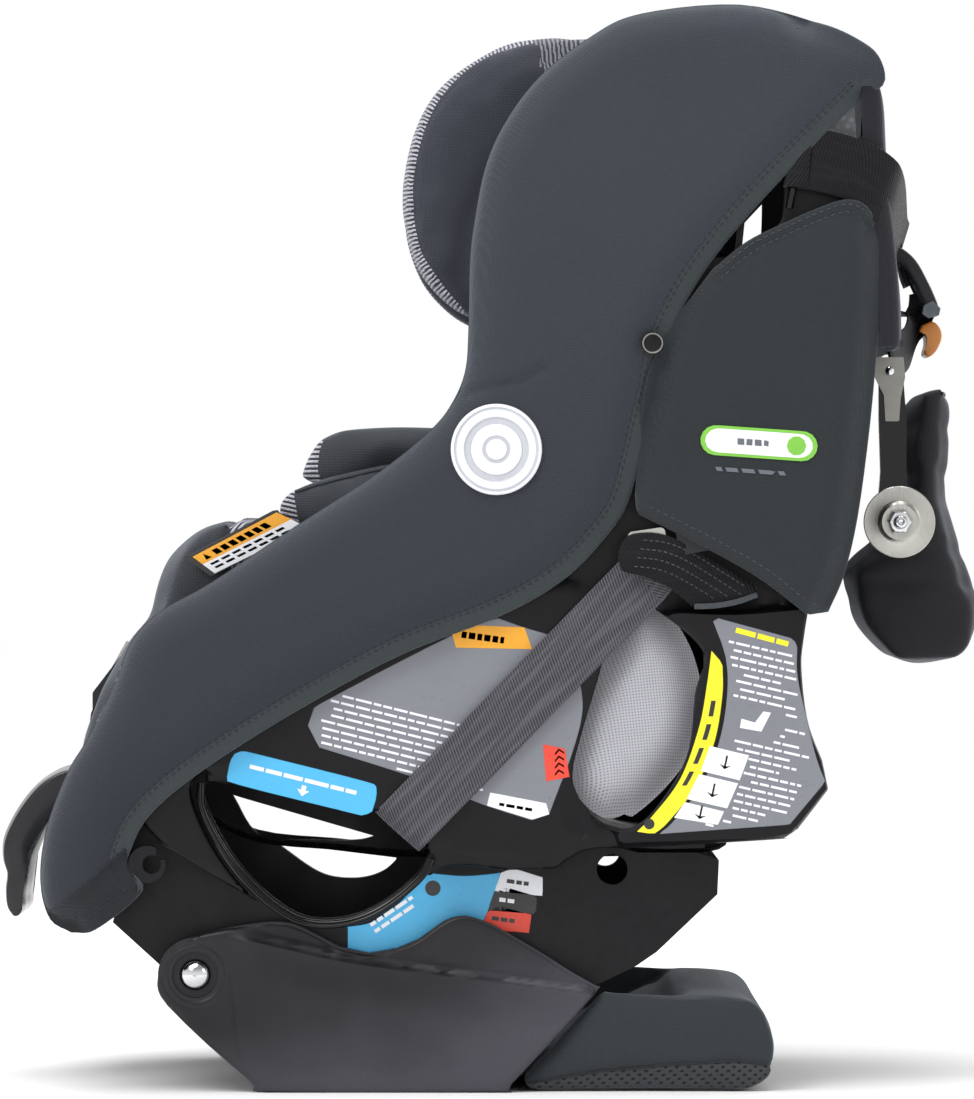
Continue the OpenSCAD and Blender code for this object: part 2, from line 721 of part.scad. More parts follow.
base_frame();
pivot_rod();
pivot_caps();
recline_racks();
stabiliser_core();
stabiliser_cover();
stabiliser_mesh();
recline_handle();
pull_link();
latch_bar();
latch_springs();
shell_side(-1);  // shell_side_left
shell_side(1);  // shell_side_right
seat_pan();
back_panel();
rear_panel();
under_shell();
side_foam();
anchor_strap();
connector(-1);  // connector_left
connector(1);  // connector_right
connector_jaws();
release_button(-1);  // release_button_left
release_button(1);  // release_button_right
side_cover(-1);  // side_cover_left
side_cover(1);  // side_cover_right
storage_flap(-1);  // storage_flap_left
storage_flap(1);  // storage_flap_right
seat_cushion();
back_cushion();
infant_insert();
path_lining();
harness_straps();
shoulder_pads();
harness_tongues();
buckle_housing();
buckle_button();
crotch_strap();
adjuster_housing();
adjuster_lever();
adjuster_strap();
harness_yoke();
tether_bars();
tether_straps();
tether_adjuster();
adjuster_cam();
tether_hook();
hook_latch();
anchor_fitting();
anchor_bolt();
tether_bag();
side_badges();
snap_studs();
cover_hooks();
headrest_shell();
headrest_pad();
harness_carriage();
height_lever(-1);  // height_lever_left
height_lever(1);  // height_lever_right
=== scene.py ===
import math
import random

import bmesh
import bpy
import numpy as np
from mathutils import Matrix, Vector
from mathutils.bvhtree import BVHTree
from mathutils.geometry import delaunay_2d_cdt


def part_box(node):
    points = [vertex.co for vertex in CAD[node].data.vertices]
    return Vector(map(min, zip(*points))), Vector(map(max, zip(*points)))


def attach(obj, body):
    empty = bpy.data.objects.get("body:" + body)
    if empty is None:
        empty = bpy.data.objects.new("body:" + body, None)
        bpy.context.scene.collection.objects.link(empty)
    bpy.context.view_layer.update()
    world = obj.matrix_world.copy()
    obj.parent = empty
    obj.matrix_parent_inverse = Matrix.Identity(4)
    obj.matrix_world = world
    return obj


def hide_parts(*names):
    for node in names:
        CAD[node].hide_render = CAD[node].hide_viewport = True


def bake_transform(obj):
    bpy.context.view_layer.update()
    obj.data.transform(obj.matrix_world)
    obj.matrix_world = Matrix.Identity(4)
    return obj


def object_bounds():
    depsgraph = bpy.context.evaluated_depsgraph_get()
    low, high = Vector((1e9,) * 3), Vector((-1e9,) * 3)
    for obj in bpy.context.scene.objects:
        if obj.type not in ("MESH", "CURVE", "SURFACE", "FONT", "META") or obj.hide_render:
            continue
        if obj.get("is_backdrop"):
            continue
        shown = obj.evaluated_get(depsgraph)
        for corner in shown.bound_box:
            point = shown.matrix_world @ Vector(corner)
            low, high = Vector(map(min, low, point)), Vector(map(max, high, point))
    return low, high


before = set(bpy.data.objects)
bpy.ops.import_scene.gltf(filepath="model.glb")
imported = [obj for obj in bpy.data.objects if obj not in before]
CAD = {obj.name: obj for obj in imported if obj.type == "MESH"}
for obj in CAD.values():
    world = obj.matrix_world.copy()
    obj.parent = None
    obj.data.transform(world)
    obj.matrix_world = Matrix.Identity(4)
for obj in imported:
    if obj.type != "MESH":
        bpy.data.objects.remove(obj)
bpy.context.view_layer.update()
MM = 0.001
rng = random.Random(7)
COVER_ROUND = 24.5    # radius of the side covers' upper edge
HEM = 11              # width of the binding along the covers' lower edge
CLOTH_FRAMES = 20     # length of the inflation of stuffed pieces
HEADREST_LEAN = 6     # degrees
CAMERA = (0, -5, 0.349)
CAMERA_LENS, CAMERA_SENSOR = 245.6, 36


# ---- outlines in the XZ plane, in mm ----

def arr(p):
    return np.array(p, float)


def catmull(a, b, c, d, n):
    """n points of a Catmull-Rom curve from b towards c."""
    return [0.5 * (2 * b + (c - a) * t + (2 * a - 5 * b + 4 * c - d) * t * t + (3 * b - a - 3 * c + d) * t ** 3)
            for t in (k / n for k in range(n))]


def smooth_path(p, n=6):
    """A smooth curve through the points of an open path."""
    p = arr(p)
    q = np.vstack([2 * p[0] - p[1], p, 2 * p[-1] - p[-2]])
    return arr([v for i in range(1, len(q) - 2) for v in catmull(*q[i - 1:i + 3], n)] + [p[-1]])


def smooth_loop(p, n=6):
    p = arr(p)
    m = len(p)
    return arr([v for i in range(m) for v in catmull(p[i - 1], p[i], p[(i + 1) % m], p[(i + 2) % m], n)])


def closed(loop):
    return np.vstack([loop, loop[:1]])


def resample(p, step, closed=False):
    p = arr(p)
    if closed:
        p = np.vstack([p, p[:1]])
    seg = np.linalg.norm(np.diff(p, axis=0), axis=1)
    keep = np.concatenate([[True], seg > 1e-6])
    p, seg = p[keep], seg[seg > 1e-6]
    s = np.concatenate([[0], np.cumsum(seg)])
    n = max(2, int(round(s[-1] / step)) + 1)
    t = np.linspace(0, s[-1], n)
    out = np.stack([np.interp(t, s, p[:, k]) for k in range(p.shape[1])], 1)
    return out[:-1] if closed else out


def soften(loop, corner=38):
    """A closed outline with its gentle bends rounded and its corners kept."""
    p = arr(loop)
    m = len(p)
    a, b = p - np.roll(p, 1, 0), np.roll(p, -1, 0) - p
    turn = np.degrees(np.arccos(np.clip((a * b).sum(1) / np.linalg.norm(a, axis=1)
                                        / np.linalg.norm(b, axis=1), -1, 1)))
    corners = [i for i in range(m) if turn[i] > corner]
    if not corners:
        return smooth_loop(p, 4)
    out = []
    for j, i in enumerate(corners):
        k = corners[(j + 1) % len(corners)]
        run = [p[(i + q) % m] for q in range(((k - i) % m or m) + 1)]
        out.extend(smooth_path(run, 4)[:-1] if len(run) > 2 else run[:-1])
    return arr(out)


def distance(P, path, closed=False):
    """Distance of each point to a path."""
    q = arr(path)
    a = q if closed else q[:-1]
    b = np.roll(q, -1, 0) if closed else q[1:]
    best = np.full(len(P), 1e9)
    for i in range(len(a)):
        d = b[i] - a[i]
        t = np.clip(((P - a[i]) @ d) / max(d @ d, 1e-9), 0, 1)
        best = np.minimum(best, np.hypot(*(P - a[i] - t[:, None] * d).T))
    return best


def inside(P, poly):
    q = arr(poly)
    r = np.roll(q, -1, 0)
    odd = np.zeros(len(P), bool)
    for (x0, z0), (x1, z1) in zip(q, r):
        if z0 == z1:
            continue
        hit = (P[:, 1] > z0) != (P[:, 1] > z1)
        odd ^= hit & (P[:, 0] < (x1 - x0) * (P[:, 1] - z0) / (z1 - z0) + x0)
    return odd


def depth(P, poly):
    """Distance to the outline, positive inside it."""
    return np.where(inside(P, poly), 1, -1) * distance(P, poly, True)


def step(a, b, x):
    t = np.clip((x - a) / (b - a), 0, 1)
    return t * t * (3 - 2 * t)


def roll_off(d, r):
    """How far a rounded edge of radius r lies below its face, at distance d from the edge."""
    return r - np.sqrt(np.maximum(r * r - np.clip(r - d, 0, r) ** 2, 0))


def hill(d, width):
    """1 at distance 0, falling off to 0 over a few widths."""
    return np.exp(-(d / width) ** 2)


def beside(path, t, closed=False):
    p = arr(path)
    d = np.roll(p, -1, 0) - np.roll(p, 1, 0) if closed else np.gradient(p, axis=0)
    d /= np.linalg.norm(d, axis=1)[:, None] + 1e-12
    return p + t * np.stack([-d[:, 1], d[:, 0]], 1)


def cad_loops(node, y):
    """The outlines of a CAD node's flat face in the plane y, longest first."""
    me = CAD[node].data
    co = arr([v.co for v in me.vertices]) * 1000
    key = {}
    ids = [key.setdefault((round(c[0], 2), round(c[2], 2)), len(key)) if abs(c[1] - y) < 0.02 else -1 for c in co]
    me.calc_loop_triangles()
    edges = {}
    for t in me.loop_triangles:
        v = [ids[i] for i in t.vertices]
        if min(v) >= 0 and len(set(v)) == 3:
            for e in ((v[0], v[1]), (v[1], v[2]), (v[2], v[0])):
                edges[frozenset(e)] = edges.get(frozenset(e), 0) + 1
    link = {}
    for e, n in edges.items():
        if n == 1:
            a, b = tuple(e)
            link.setdefault(a, []).append(b)
            link.setdefault(b, []).append(a)
    points, loops = list(key), []
    while link:
        start = min(link)
        loop, at, last = [start], start, None
        while True:
            options = [n for n in link.get(at, []) if n != last]
            if not options:
                break
            last, at = at, options[0]
            if at == start:
                break
            loop.append(at)
        for i in loop:
            link.pop(i, None)
        loops.append(arr([points[i] for i in loop]))
    return sorted(loops, key=lambda q: -len(resample(q, 2, True)))


def nearest(path, point):
    return int(np.argmin(np.hypot(*(arr(path) - arr(point)).T)))


# ---- meshes ----

def new_object(name, verts, faces, mats, index=None, sharp=40, close=True):
    me = bpy.data.meshes.new(name)
    me.from_pydata([(v[0] * MM, v[1] * MM, v[2] * MM) for v in verts], [],
                   [tuple(int(i) for i in f) for f in faces])
    if index is not None:
        me.polygons.foreach_set("material_index", arr(index).astype(int))
    if close:
        bm = bmesh.new()
        bm.from_mesh(me)
        bmesh.ops.recalc_face_normals(bm, faces=bm.faces)
        bm.to_mesh(me)
        bm.free()
    me.polygons.foreach_set("use_smooth", [True] * len(me.polygons))
    me.set_sharp_from_angle(angle=math.radians(sharp))
    obj = bpy.data.objects.new(name, me)
    bpy.context.scene.collection.objects.link(obj)
    for m in mats if isinstance(mats, (list, tuple)) else [mats]:
        me.materials.append(m)
    return obj


def put(obj, body, replaces=()):
    if isinstance(body, tuple):
        a, b, start, end = body
        [c * MM for c in start]
        [c * MM for c in end]
        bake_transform(obj)
    else:
        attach(obj, body)
    if replaces:
        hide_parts(*([replaces] if isinstance(replaces, str) else replaces))
    return obj


def put_parts(name, parts, mats, body, slot=None, replaces=(), **kw):
    return put(new_object(name, *join_parts(parts)[:2], mats, **kw), body, replaces)


def plate_mesh(outline, out, inn, side, holes=(), lines=(), grid=5.0, rows=(1.0, 2.6), index=None):
    """A plate in the XZ plane, whose outer and inner faces lie at |Y| = out(P) and inn(P)."""
    loops = [resample(outline, min(grid, 4), True)] + [resample(h, 3, True) for h in holes]
    pts, edges = [], []

    def chain(p, closed):
        n = len(pts)
        pts.extend(p)
        edges.extend((n + i, n + i + 1) for i in range(len(p) - 1))
        if closed:
            edges.append((n + len(p) - 1, n))

    def within(P):
        ok = inside(P, loops[0])
        for h in loops[1:]:
            ok &= ~inside(P, h)
        return ok

    def edge_distance(P):
        return np.min([distance(P, q, True) for q in loops], axis=0)

    for q in loops:
        chain(q, True)
    near = []
    for line in lines:
        q = resample(line, min(grid, 4))
        ok = within(q) & (edge_distance(q) > 0.7)
        run = []
        for i in range(len(q)):
            if ok[i]:
                run.append(q[i])
            if (not ok[i] or i == len(q) - 1) and len(run) > 1:
                chain(run, False)
                near.append(arr(run))
            if not ok[i]:
                run = []
    extra = []
    for q in loops:
        for r in rows:
            for s in (-1, 1):
                c = beside(q, s * r, True)
                ok = within(c) & (edge_distance(c) > 0.93 * r)
                extra.append(c[ok])
    lo, hi = loops[0].min(0), loops[0].max(0)
    gx, gz = np.meshgrid(np.arange(lo[0], hi[0], grid), np.arange(lo[1], hi[1], grid))
    gx = gx + (np.arange(gx.shape[0])[:, None] % 2) * grid / 2
    g = np.stack([gx.ravel(), gz.ravel()], 1)
    extra.append(g[within(g) & (edge_distance(g) > (rows[-1] if rows else 0) + grid * 0.4)])
    extra = np.vstack(extra)
    for q in near:
        extra = extra[distance(extra, q) > 0.8]
    pts.extend(extra)
    co, _, tris, *_ = delaunay_2d_cdt([Vector(p) for p in pts], edges, [], 0, 1e-5)
    co, tris = arr([tuple(c) for c in co]), np.array(tris)
    mid = co[tris].mean(1)
    tris = tris[within(mid)]
    n = len(co)
    yo, yi = side * out(co), side * inn(co)
    verts = np.vstack([np.stack([co[:, 0], yo, co[:, 1]], 1), np.stack([co[:, 0], yi, co[:, 1]], 1)])
    faces = [tuple(t) for t in tris] + [tuple(t[::-1] + n) for t in tris]
    seen = {}
    for t in tris:
        for a, b in ((t[0], t[1]), (t[1], t[2]), (t[2], t[0])):
            seen[frozenset((a, b))] = None if frozenset((a, b)) in seen else (a, b)
    walls = [(b, a, a + n, b + n) for e in seen.values() if e for a, b in [e]]
    faces += walls
    kind = None
    if index is not None:
        k = index(co[tris].mean(1))
        w = index(arr([(co[a] + co[b]) / 2 for b, a, *_ in walls])) if walls else []
        kind = np.concatenate([k, k, w])
    used = np.unique(np.concatenate([np.array(f) for f in faces]))
    new = np.full(2 * n, -1)
    new[used] = np.arange(len(used))
    return verts[used], [tuple(new[list(f)]) for f in faces], kind


def plate(name, outline, out, inn, side, mats, sharp=40, **kw):
    const = lambda v: (lambda P: np.full(len(P), float(v)))
    out = out if callable(out) else const(out)
    inn = inn if callable(inn) else const(inn)
    verts, faces, kind = plate_mesh(outline, out, inn, side, **kw)
    return new_object(name, verts, faces, mats, kind, sharp)


def join_parts(parts):
    """One list of vertices and faces from several."""
    verts, faces, kinds = [], [], []
    for v, f, k in parts:
        n = len(verts)
        verts.extend(v)
        faces.extend([tuple(i + n for i in face) for face in f])
        kinds.extend(k if hasattr(k, "__len__") else [k] * len(f))
    return verts, faces, kinds


def loft(rings, closed=True, caps=True):
    """Faces between rings of equal length."""
    rings = arr(rings)
    m, n = rings.shape[:2]
    faces = []
    for i in range(m - 1):
        for k in range(n if closed else n - 1):
            a, b = i * n + k, i * n + (k + 1) % n
            faces.append((a, b, b + n, a + n))
    if caps and closed:
        faces += [tuple(range(n))[::-1], tuple(range((m - 1) * n, m * n))]
    return rings.reshape(-1, 3), faces


def lathe(c, profile, side=-1, m=64):
    """Rings around an axis along Y: profile is (radius, |Y|) pairs."""
    t = np.linspace(0, 2 * math.pi, m, False)
    return loft([[(c[0] + r * math.cos(a), side * y, c[1] + r * math.sin(a)) for a in t] for r, y in profile])


def frames_along(p, across):
    """Tangent, across and normal directions at each point of a 3-D path."""
    t = np.gradient(arr(p), axis=0)
    t /= np.linalg.norm(t, axis=1)[:, None] + 1e-12
    a = np.broadcast_to(arr(across), t.shape).copy()
    a -= (a * t).sum(1)[:, None] * t
    a /= np.linalg.norm(a, axis=1)[:, None] + 1e-12
    return t, a, np.cross(t, a)


def tube_part(p, r, sides=8, flat=1.0, across=(0, 1, 0)):
    t, a, b = frames_along(p, across)
    ang = np.arange(sides) * 2 * math.pi / sides
    rings = [q + r * (np.cos(ang)[:, None] * u + flat * np.sin(ang)[:, None] * v) for q, u, v in zip(arr(p), a, b)]
    return loft(rings)


def strap(name, p, across, width, thick, mat, cup=0.0):
    """Woven webbing along a 3-D path, with a soft edge and UVs in units of 100 mm."""
    p = resample(p, 4)
    if np.ndim(across) == 2:
        s = np.linspace(0, 1, len(across))
        across = np.stack([np.interp(np.linspace(0, 1, len(p)), s, arr(across)[:, k]) for k in range(3)], 1)
    t, a, b = frames_along(p, across)
    u = np.array([-.5, -.495, -.48, -.4, -.2, 0, .2, .4, .48, .495, .5])
    h = np.array([0, .55, .9, 1, 1, 1, 1, 1, .9, .55, 0]) / 2
    ring = [(x, y) for x, y in zip(u, h)] + [(x, -y) for x, y in zip(u[-2:0:-1], h[-2:0:-1])]
    rings = [[q + a[i] * x * width + b[i] * (y * thick + cup * (1 - 4 * x * x)) for x, y in ring]
             for i, q in enumerate(p)]
    v, f = loft(rings)
    obj = new_object(name, v, f, mat)
    run = np.concatenate([[0], np.cumsum(np.linalg.norm(np.diff(p, axis=0), axis=1))])
    layer = obj.data.uv_layers.new(name="weave")
    n = len(ring)
    uv = np.array([(ring[li.vertex_index % n][0] * width / 100, run[li.vertex_index // n] / 100)
                   for li in obj.data.loops])
    layer.data.foreach_set("uv", uv.ravel())
    return obj


def stitches(path, normal, length=3.2, gap=1.7, r=0.42):
    """Thread dashes along a 3-D path, as parts for join_parts."""
    p = resample(path, (length + gap))
    parts = []
    normal = np.broadcast_to(arr(normal), p.shape)
    for i in range(len(p) - 1):
        d = p[i + 1] - p[i]
        d = d / (np.linalg.norm(d) + 1e-9)
        s = np.cross(d, normal[i])
        a, b = p[i], p[i] + d * length
        ring = lambda c, k: [c + k * r * s, c + k * r * 1.2 * normal[i], c - k * r * s, c - k * r * 0.6 * normal[i]]
        v, f = loft([ring(a, .3), ring(a + d * .5, 1), ring(b - d * .5, 1), ring(b, .3)])
        parts.append((v, f, 0))
    return parts


def evaluated(obj):
    """The object's mesh with its modifiers applied."""
    dg = bpy.context.evaluated_depsgraph_get()
    me = bpy.data.meshes.new_from_object(obj.evaluated_get(dg))
    old = obj.data
    obj.modifiers.clear()
    obj.data = me
    bpy.data.meshes.remove(old)


def read(items, key):
    """A 3-D value of every item, as rows."""
    values = np.zeros(len(items) * 3)
    items.foreach_get(key, values)
    return values.reshape(-1, 3)


def coords(obj):
    return read(obj.data.vertices, "co")


def set_coords(obj, co):
    obj.data.vertices.foreach_set("co", arr(co).ravel())
    obj.data.update()


def normals(obj):
    return read(obj.data.vertices, "normal")


def modify(obj, kind, **settings):
    """Applies a modifier with these settings."""
    m = obj.modifiers.new(kind.lower(), kind)
    for key, value in settings.items():
        setattr(m, key, value)
    evaluated(obj)


def puff(name, sources, mats, voxel=5.0, soften_by=8, shrink=2.0, cap=7.0, pressure=4.0, subdivide=1):
    """A stuffed piece: CAD solids remeshed, rounded, and inflated by cloth simulation."""
    verts, faces = [], []
    for s in sources:
        me = s.data if hasattr(s, "data") else s
        n = len(verts)
        verts += [tuple(v.co) for v in me.vertices]
        faces += [tuple(i + n for i in p.vertices) for p in me.polygons]
    me = bpy.data.meshes.new(name)
    me.from_pydata(verts, [], faces)
    bm = bmesh.new()
    bm.from_mesh(me)
    bmesh.ops.remove_doubles(bm, verts=bm.verts, dist=1e-6)
    bmesh.ops.recalc_face_normals(bm, faces=bm.faces)
    bm.to_mesh(me)
    bm.free()
    obj = bpy.data.objects.new(name, me)
    bpy.context.scene.collection.objects.link(obj)
    modify(obj, "REMESH", mode="VOXEL", voxel_size=voxel * MM, use_smooth_shade=True)
    modify(obj, "SMOOTH", factor=0.5, iterations=soften_by)
    rest = coords(obj)
    set_coords(obj, rest - normals(obj) * shrink * MM)
    scene = bpy.context.scene
    cloth = obj.modifiers.new("cloth", "CLOTH")
    cloth.settings.use_pressure = True
    cloth.settings.uniform_pressure_force = pressure
    cloth.settings.effector_weights.gravity = 0
    cloth.settings.quality = 4
    cloth.settings.tension_stiffness = cloth.settings.compression_stiffness = 12
    cloth.point_cache.frame_start, cloth.point_cache.frame_end = 1, CLOTH_FRAMES
    for f in range(1, CLOTH_FRAMES + 1):
        scene.frame_set(f)
    dg = bpy.context.evaluated_depsgraph_get()
    co = read(obj.evaluated_get(dg).data.vertices, "co")
    obj.modifiers.clear()
    scene.frame_set(1)
    moved = co - rest
    size = np.linalg.norm(moved, axis=1)
    scale = np.minimum(1, cap * MM / np.maximum(size, 1e-9))
    set_coords(obj, rest + moved * scale[:, None])
    modify(obj, "SMOOTH", factor=0.5, iterations=2)
    if subdivide:
        modify(obj, "SUBSURF", levels=subdivide, render_levels=subdivide)
    obj.data.polygons.foreach_set("use_smooth", [True] * len(obj.data.polygons))
    obj.data.materials.clear()
    for k in mats if isinstance(mats, (list, tuple)) else [mats]:
        obj.data.materials.append(k)
    return obj


def keep_in(obj, axis, limit, above=False):
    """Flattens what stands past a plane, so that a stuffed piece rests on it."""
    co = coords(obj)
    co[:, axis] = (np.maximum if above else np.minimum)(co[:, axis], limit * MM)
    set_coords(obj, co)


def groove(obj, path, width=3.0, deep=1.6, plane=None):
    """Sinks a sewn channel into a soft mesh along a path. plane (two axes) measures the distance in that plane."""
    co, n = coords(obj) * 1000, normals(obj)
    axes = [0, 1, 2] if plane is None else list(plane)
    q = resample(arr(path)[:, axes], 2)
    d = np.full(len(co), 1e9)
    for c in q:
        d = np.minimum(d, np.linalg.norm(co[:, axes] - c, axis=1))
    set_coords(obj, (co - n * (deep * np.exp(-(d / width) ** 2))[:, None]) * MM)


def paint(obj, rule):
    """Sets each face's material from its centre, in mm, and its normal."""
    faces = obj.data.polygons
    faces.foreach_set("material_index", rule(read(faces, "center") * 1000, read(faces, "normal")).astype(int))
    obj.data.update()


def surface_tree(obj):
    me = obj.data
    return BVHTree.FromPolygons([v.co for v in me.vertices], [p.vertices for p in me.polygons])


def cast(tree, p, direction, lift=0.0):
    """Points carried along a direction onto a surface."""
    d = Vector(direction).normalized()
    out = []
    for q in arr(p):
        origin = Vector(q * MM) - d * 0.2
        hit, normal, *_ = tree.ray_cast(origin, d, 0.5)
        if hit is not None:
            out.append(arr(hit) * 1000 + arr(normal) * lift)
    return arr(out)


def bevel(node, width):
    m = CAD[node].modifiers.new("edge", "BEVEL")
    m.width, m.segments, m.limit_method, m.angle_limit = width * MM, 2, "ANGLE", math.radians(35)
    m.harden_normals = True


# ---- materials ----

def srgb(r, g, b):
    return tuple((c / 255 / 12.92) if c <= 10 else ((c / 255 + 0.055) / 1.055) ** 2.4 for c in (r, g, b))


class Nodes:
    """A material's node tree with short calls for what repeats."""

    def __init__(self, name, color, rough, metal=0.0, spec=0.5, **sockets):
        self.m = bpy.data.materials.new(name)
        self.m.use_nodes = True
        self.t = self.m.node_tree
        self.b = self.t.nodes["Principled BSDF"]
        self.color = color
        self.b.inputs["Base Color"].default_value = (*color, 1)
        self.b.inputs["Roughness"].default_value = rough
        self.b.inputs["Metallic"].default_value = metal
        self.b.inputs["Specular IOR Level"].default_value = spec
        for k, v in sockets.items():
            self.b.inputs[k.replace("_", " ")].default_value = v
        self.c = self.node("ShaderNodeTexCoord").outputs["Object"]
        self.bump = None

    def node(self, kind, **inputs):
        n = self.t.nodes.new(kind)
        for k, v in inputs.items():
            self.put(n.inputs[k.replace("_", " ")], v)
        return n

    def put(self, socket, v):
        if isinstance(v, bpy.types.NodeSocket):
            self.t.links.new(v, socket)
        else:
            socket.default_value = v

    def math(self, op, a, b=0.0, c=0.0):
        n = self.t.nodes.new("ShaderNodeMath")
        n.operation = op
        for i, v in enumerate((a, b, c)):
            self.put(n.inputs[i], v)
        return n.outputs[0]

    def noise(self, scale, detail=3.0, vector=None, rough=0.55):
        return self.node("ShaderNodeTexNoise", Vector=vector or self.c, Scale=scale, Detail=detail,
                         Roughness=rough).outputs["Fac"]

    def voronoi(self, scale, vector=None):
        return self.node("ShaderNodeTexVoronoi", Vector=vector or self.c, Scale=scale).outputs["Distance"]

    def axis(self, direction, vector=None):
        """Distance along a direction, in metres."""
        n = self.t.nodes.new("ShaderNodeVectorMath")
        n.operation = "DOT_PRODUCT"
        self.put(n.inputs[0], vector or self.c)
        n.inputs[1].default_value = direction
        return n.outputs["Value"]

    def wave(self, value, period):
        """0 to 1 and back over each period."""
        turn = self.math("MULTIPLY", value, 2 * math.pi / period)
        return self.math("MULTIPLY_ADD", self.math("SINE", turn), 0.5, 0.5)

    def span(self, value, a, b, to=(0.0, 1.0)):
        n = self.t.nodes.new("ShaderNodeMapRange")
        n.interpolation_type = "SMOOTHSTEP"
        for i, v in enumerate((value, a, b, *to)):
            self.put(n.inputs[i], v)
        return n.outputs[0]

    def mix(self, fac, a, b):
        n = self.t.nodes.new("ShaderNodeMix")
        n.data_type = "RGBA"
        self.put(n.inputs["Factor"], fac)
        self.put(n.inputs[6], a if isinstance(a, bpy.types.NodeSocket) else (*a, 1))
        self.put(n.inputs[7], b if isinstance(b, bpy.types.NodeSocket) else (*b, 1))
        return n.outputs[2]

    def tint(self, c, mask, a, b, amount, shade):
        """Moves a colour towards another shade of the base colour, where the mask rises from a to b."""
        return self.mix(self.math("MULTIPLY", self.span(mask, a, b), amount), c, self.shade(shade))

    def attribute(self, name):
        n = self.t.nodes.new("ShaderNodeAttribute")
        n.attribute_name = name
        return n.outputs["Fac"]

    def add_bump(self, height, distance, strength=1.0):
        n = self.node("ShaderNodeBump", Height=height, Distance=distance, Strength=strength)
        if self.bump is not None:
            self.t.links.new(self.bump, n.inputs["Normal"])
        self.bump = n.outputs["Normal"]
        self.t.links.new(self.bump, self.b.inputs["Normal"])
        return self

    def set_color(self, socket):
        self.t.links.new(socket, self.b.inputs["Base Color"])
        return self

    def set_rough(self, socket):
        self.t.links.new(socket, self.b.inputs["Roughness"])
        return self

    def shade(self, k):
        return tuple(min(1, c * k) for c in self.color)


def weave(n, period):
    """A plain weave that shows on faces of any direction."""
    a = n.wave(n.axis((1, 0.94, 0.06)), period)
    b = n.wave(n.axis((0.08, 0.41, 1)), period)
    return n.math("MULTIPLY", a, b)


def cloth(name, color, period=0.0017, contrast=0.16, rough=0.82, tone=0.14, bump=0.0003, stripe=None, low=1.0):
    """Knitted fabric: weave, fuzz and slow tone changes; stripe = (dark, light, pitch) where zone is above 0; low below
    1 is painted shade that darkens it towards the bottom.
    """
    n = Nodes(name, color, rough, spec=0.25, Sheen_Weight=0.28, Sheen_Roughness=0.45,
              Sheen_Tint=(0.75, 0.8, 0.9, 1))
    w = weave(n, period)
    slow = n.noise(9, 3)
    fuzz = n.noise(1300, 2)
    c = n.mix(n.span(w, 0.1, 0.8), n.shade(1 - contrast), n.shade(1 + contrast))
    c = n.tint(c, slow, 0.3, 0.7, tone * 2, 1.35)
    c = n.tint(c, fuzz, 0.45, 0.75, 0.22, 1.5)
    if stripe:
        dark, light, pitch = stripe
        s = n.span(n.wave(n.attribute("run"), pitch), 0.42, 0.58)
        rib = n.mix(n.math("MULTIPLY", w, 0.3), n.mix(s, dark, light), n.shade(0.8))
        zone = n.span(n.attribute("zone"), -0.15, 0.15)
        c = n.mix(zone, c, rib)
        n.add_bump(n.math("MULTIPLY", n.wave(n.attribute("run"), pitch), zone), 0.0005, 0.6)
    # Painted shade: the colour darkens towards the bottom of the piece, by the factor low.
    if low < 1:
        c = n.mix(n.span(n.axis((-0.35, 0, 1)), 0.62, 0.12), c, n.mix(0.8, c, n.shade(low)))
    n.set_color(c)
    n.set_rough(n.span(slow, 0.2, 0.8, (rough - 0.06, rough + 0.08)))
    n.add_bump(w, bump, 0.7)
    n.add_bump(n.noise(35, 2), 0.0012, 0.35)
    return n.m


def moulded(name, color, rough=0.42, grain=0.00006, scale=900, wear=1.9, coat=0.0, spec=0.5, painted_cloudy_sheen=0.25,
            lift=False):
    """Moulded plastic: fine grain, painted cloudy sheen and lighter worn edges; lift paints a lighter floor reflection
    on the lower part.
    """
    n = Nodes(name, color, rough, spec=spec, Coat_Weight=coat, Coat_Roughness=0.12)
    slow = n.noise(14, 4)
    point = n.node("ShaderNodeNewGeometry").outputs["Pointiness"]
    edge = n.span(point, 0.53, 0.62)
    # Painted cloudy sheen: slow noise lightens the colour in soft patches.
    c = n.tint(color, slow, 0.35, 0.7, painted_cloudy_sheen, 1.5)
    if lift:
        # Painted reflection of the floor: the colour turns lighter towards the bottom.
        painted_floor_reflection = n.span(n.math("MULTIPLY_ADD", n.noise(7, 3), -0.09, n.axis((-0.25, 0, 1))), 0.05, -0.03)
        c = n.mix(n.math("MULTIPLY", painted_floor_reflection, 0.85), c, n.shade(6.0))
    c = n.mix(n.math("MULTIPLY", edge, n.span(n.noise(160, 3), 0.35, 0.6, (0.15, 0.6))), c, n.shade(wear))
    scuff = n.span(n.noise(60, 5, rough=0.7), 0.56, 0.7)
    n.set_color(n.mix(n.math("MULTIPLY", scuff, 0.10), c, n.shade(1.8)))
    n.set_rough(n.span(n.noise(26, 4), 0.3, 0.75, (rough - 0.07, rough + 0.1)))
    n.add_bump(n.noise(scale, 2), grain, 0.8)
    return n.m


def metal(name, color, rough=0.3, brushed=(0, 0, 1), scratch=0.00003):
    n = Nodes(name, color, rough, metal=1.0)
    g = n.node("ShaderNodeMapping", Vector=n.c, Scale=tuple(60 + 1400 * (1 - abs(b)) for b in brushed)).outputs[0]
    lines = n.noise(1.0, 3, vector=g)
    n.set_rough(n.span(lines, 0.25, 0.75, (rough * 0.75, rough * 1.35)))
    n.set_color(n.tint(color, n.noise(70, 4), 0.45, 0.75, 0.35, 0.72))
    n.add_bump(lines, scratch, 0.6)
    return n.m


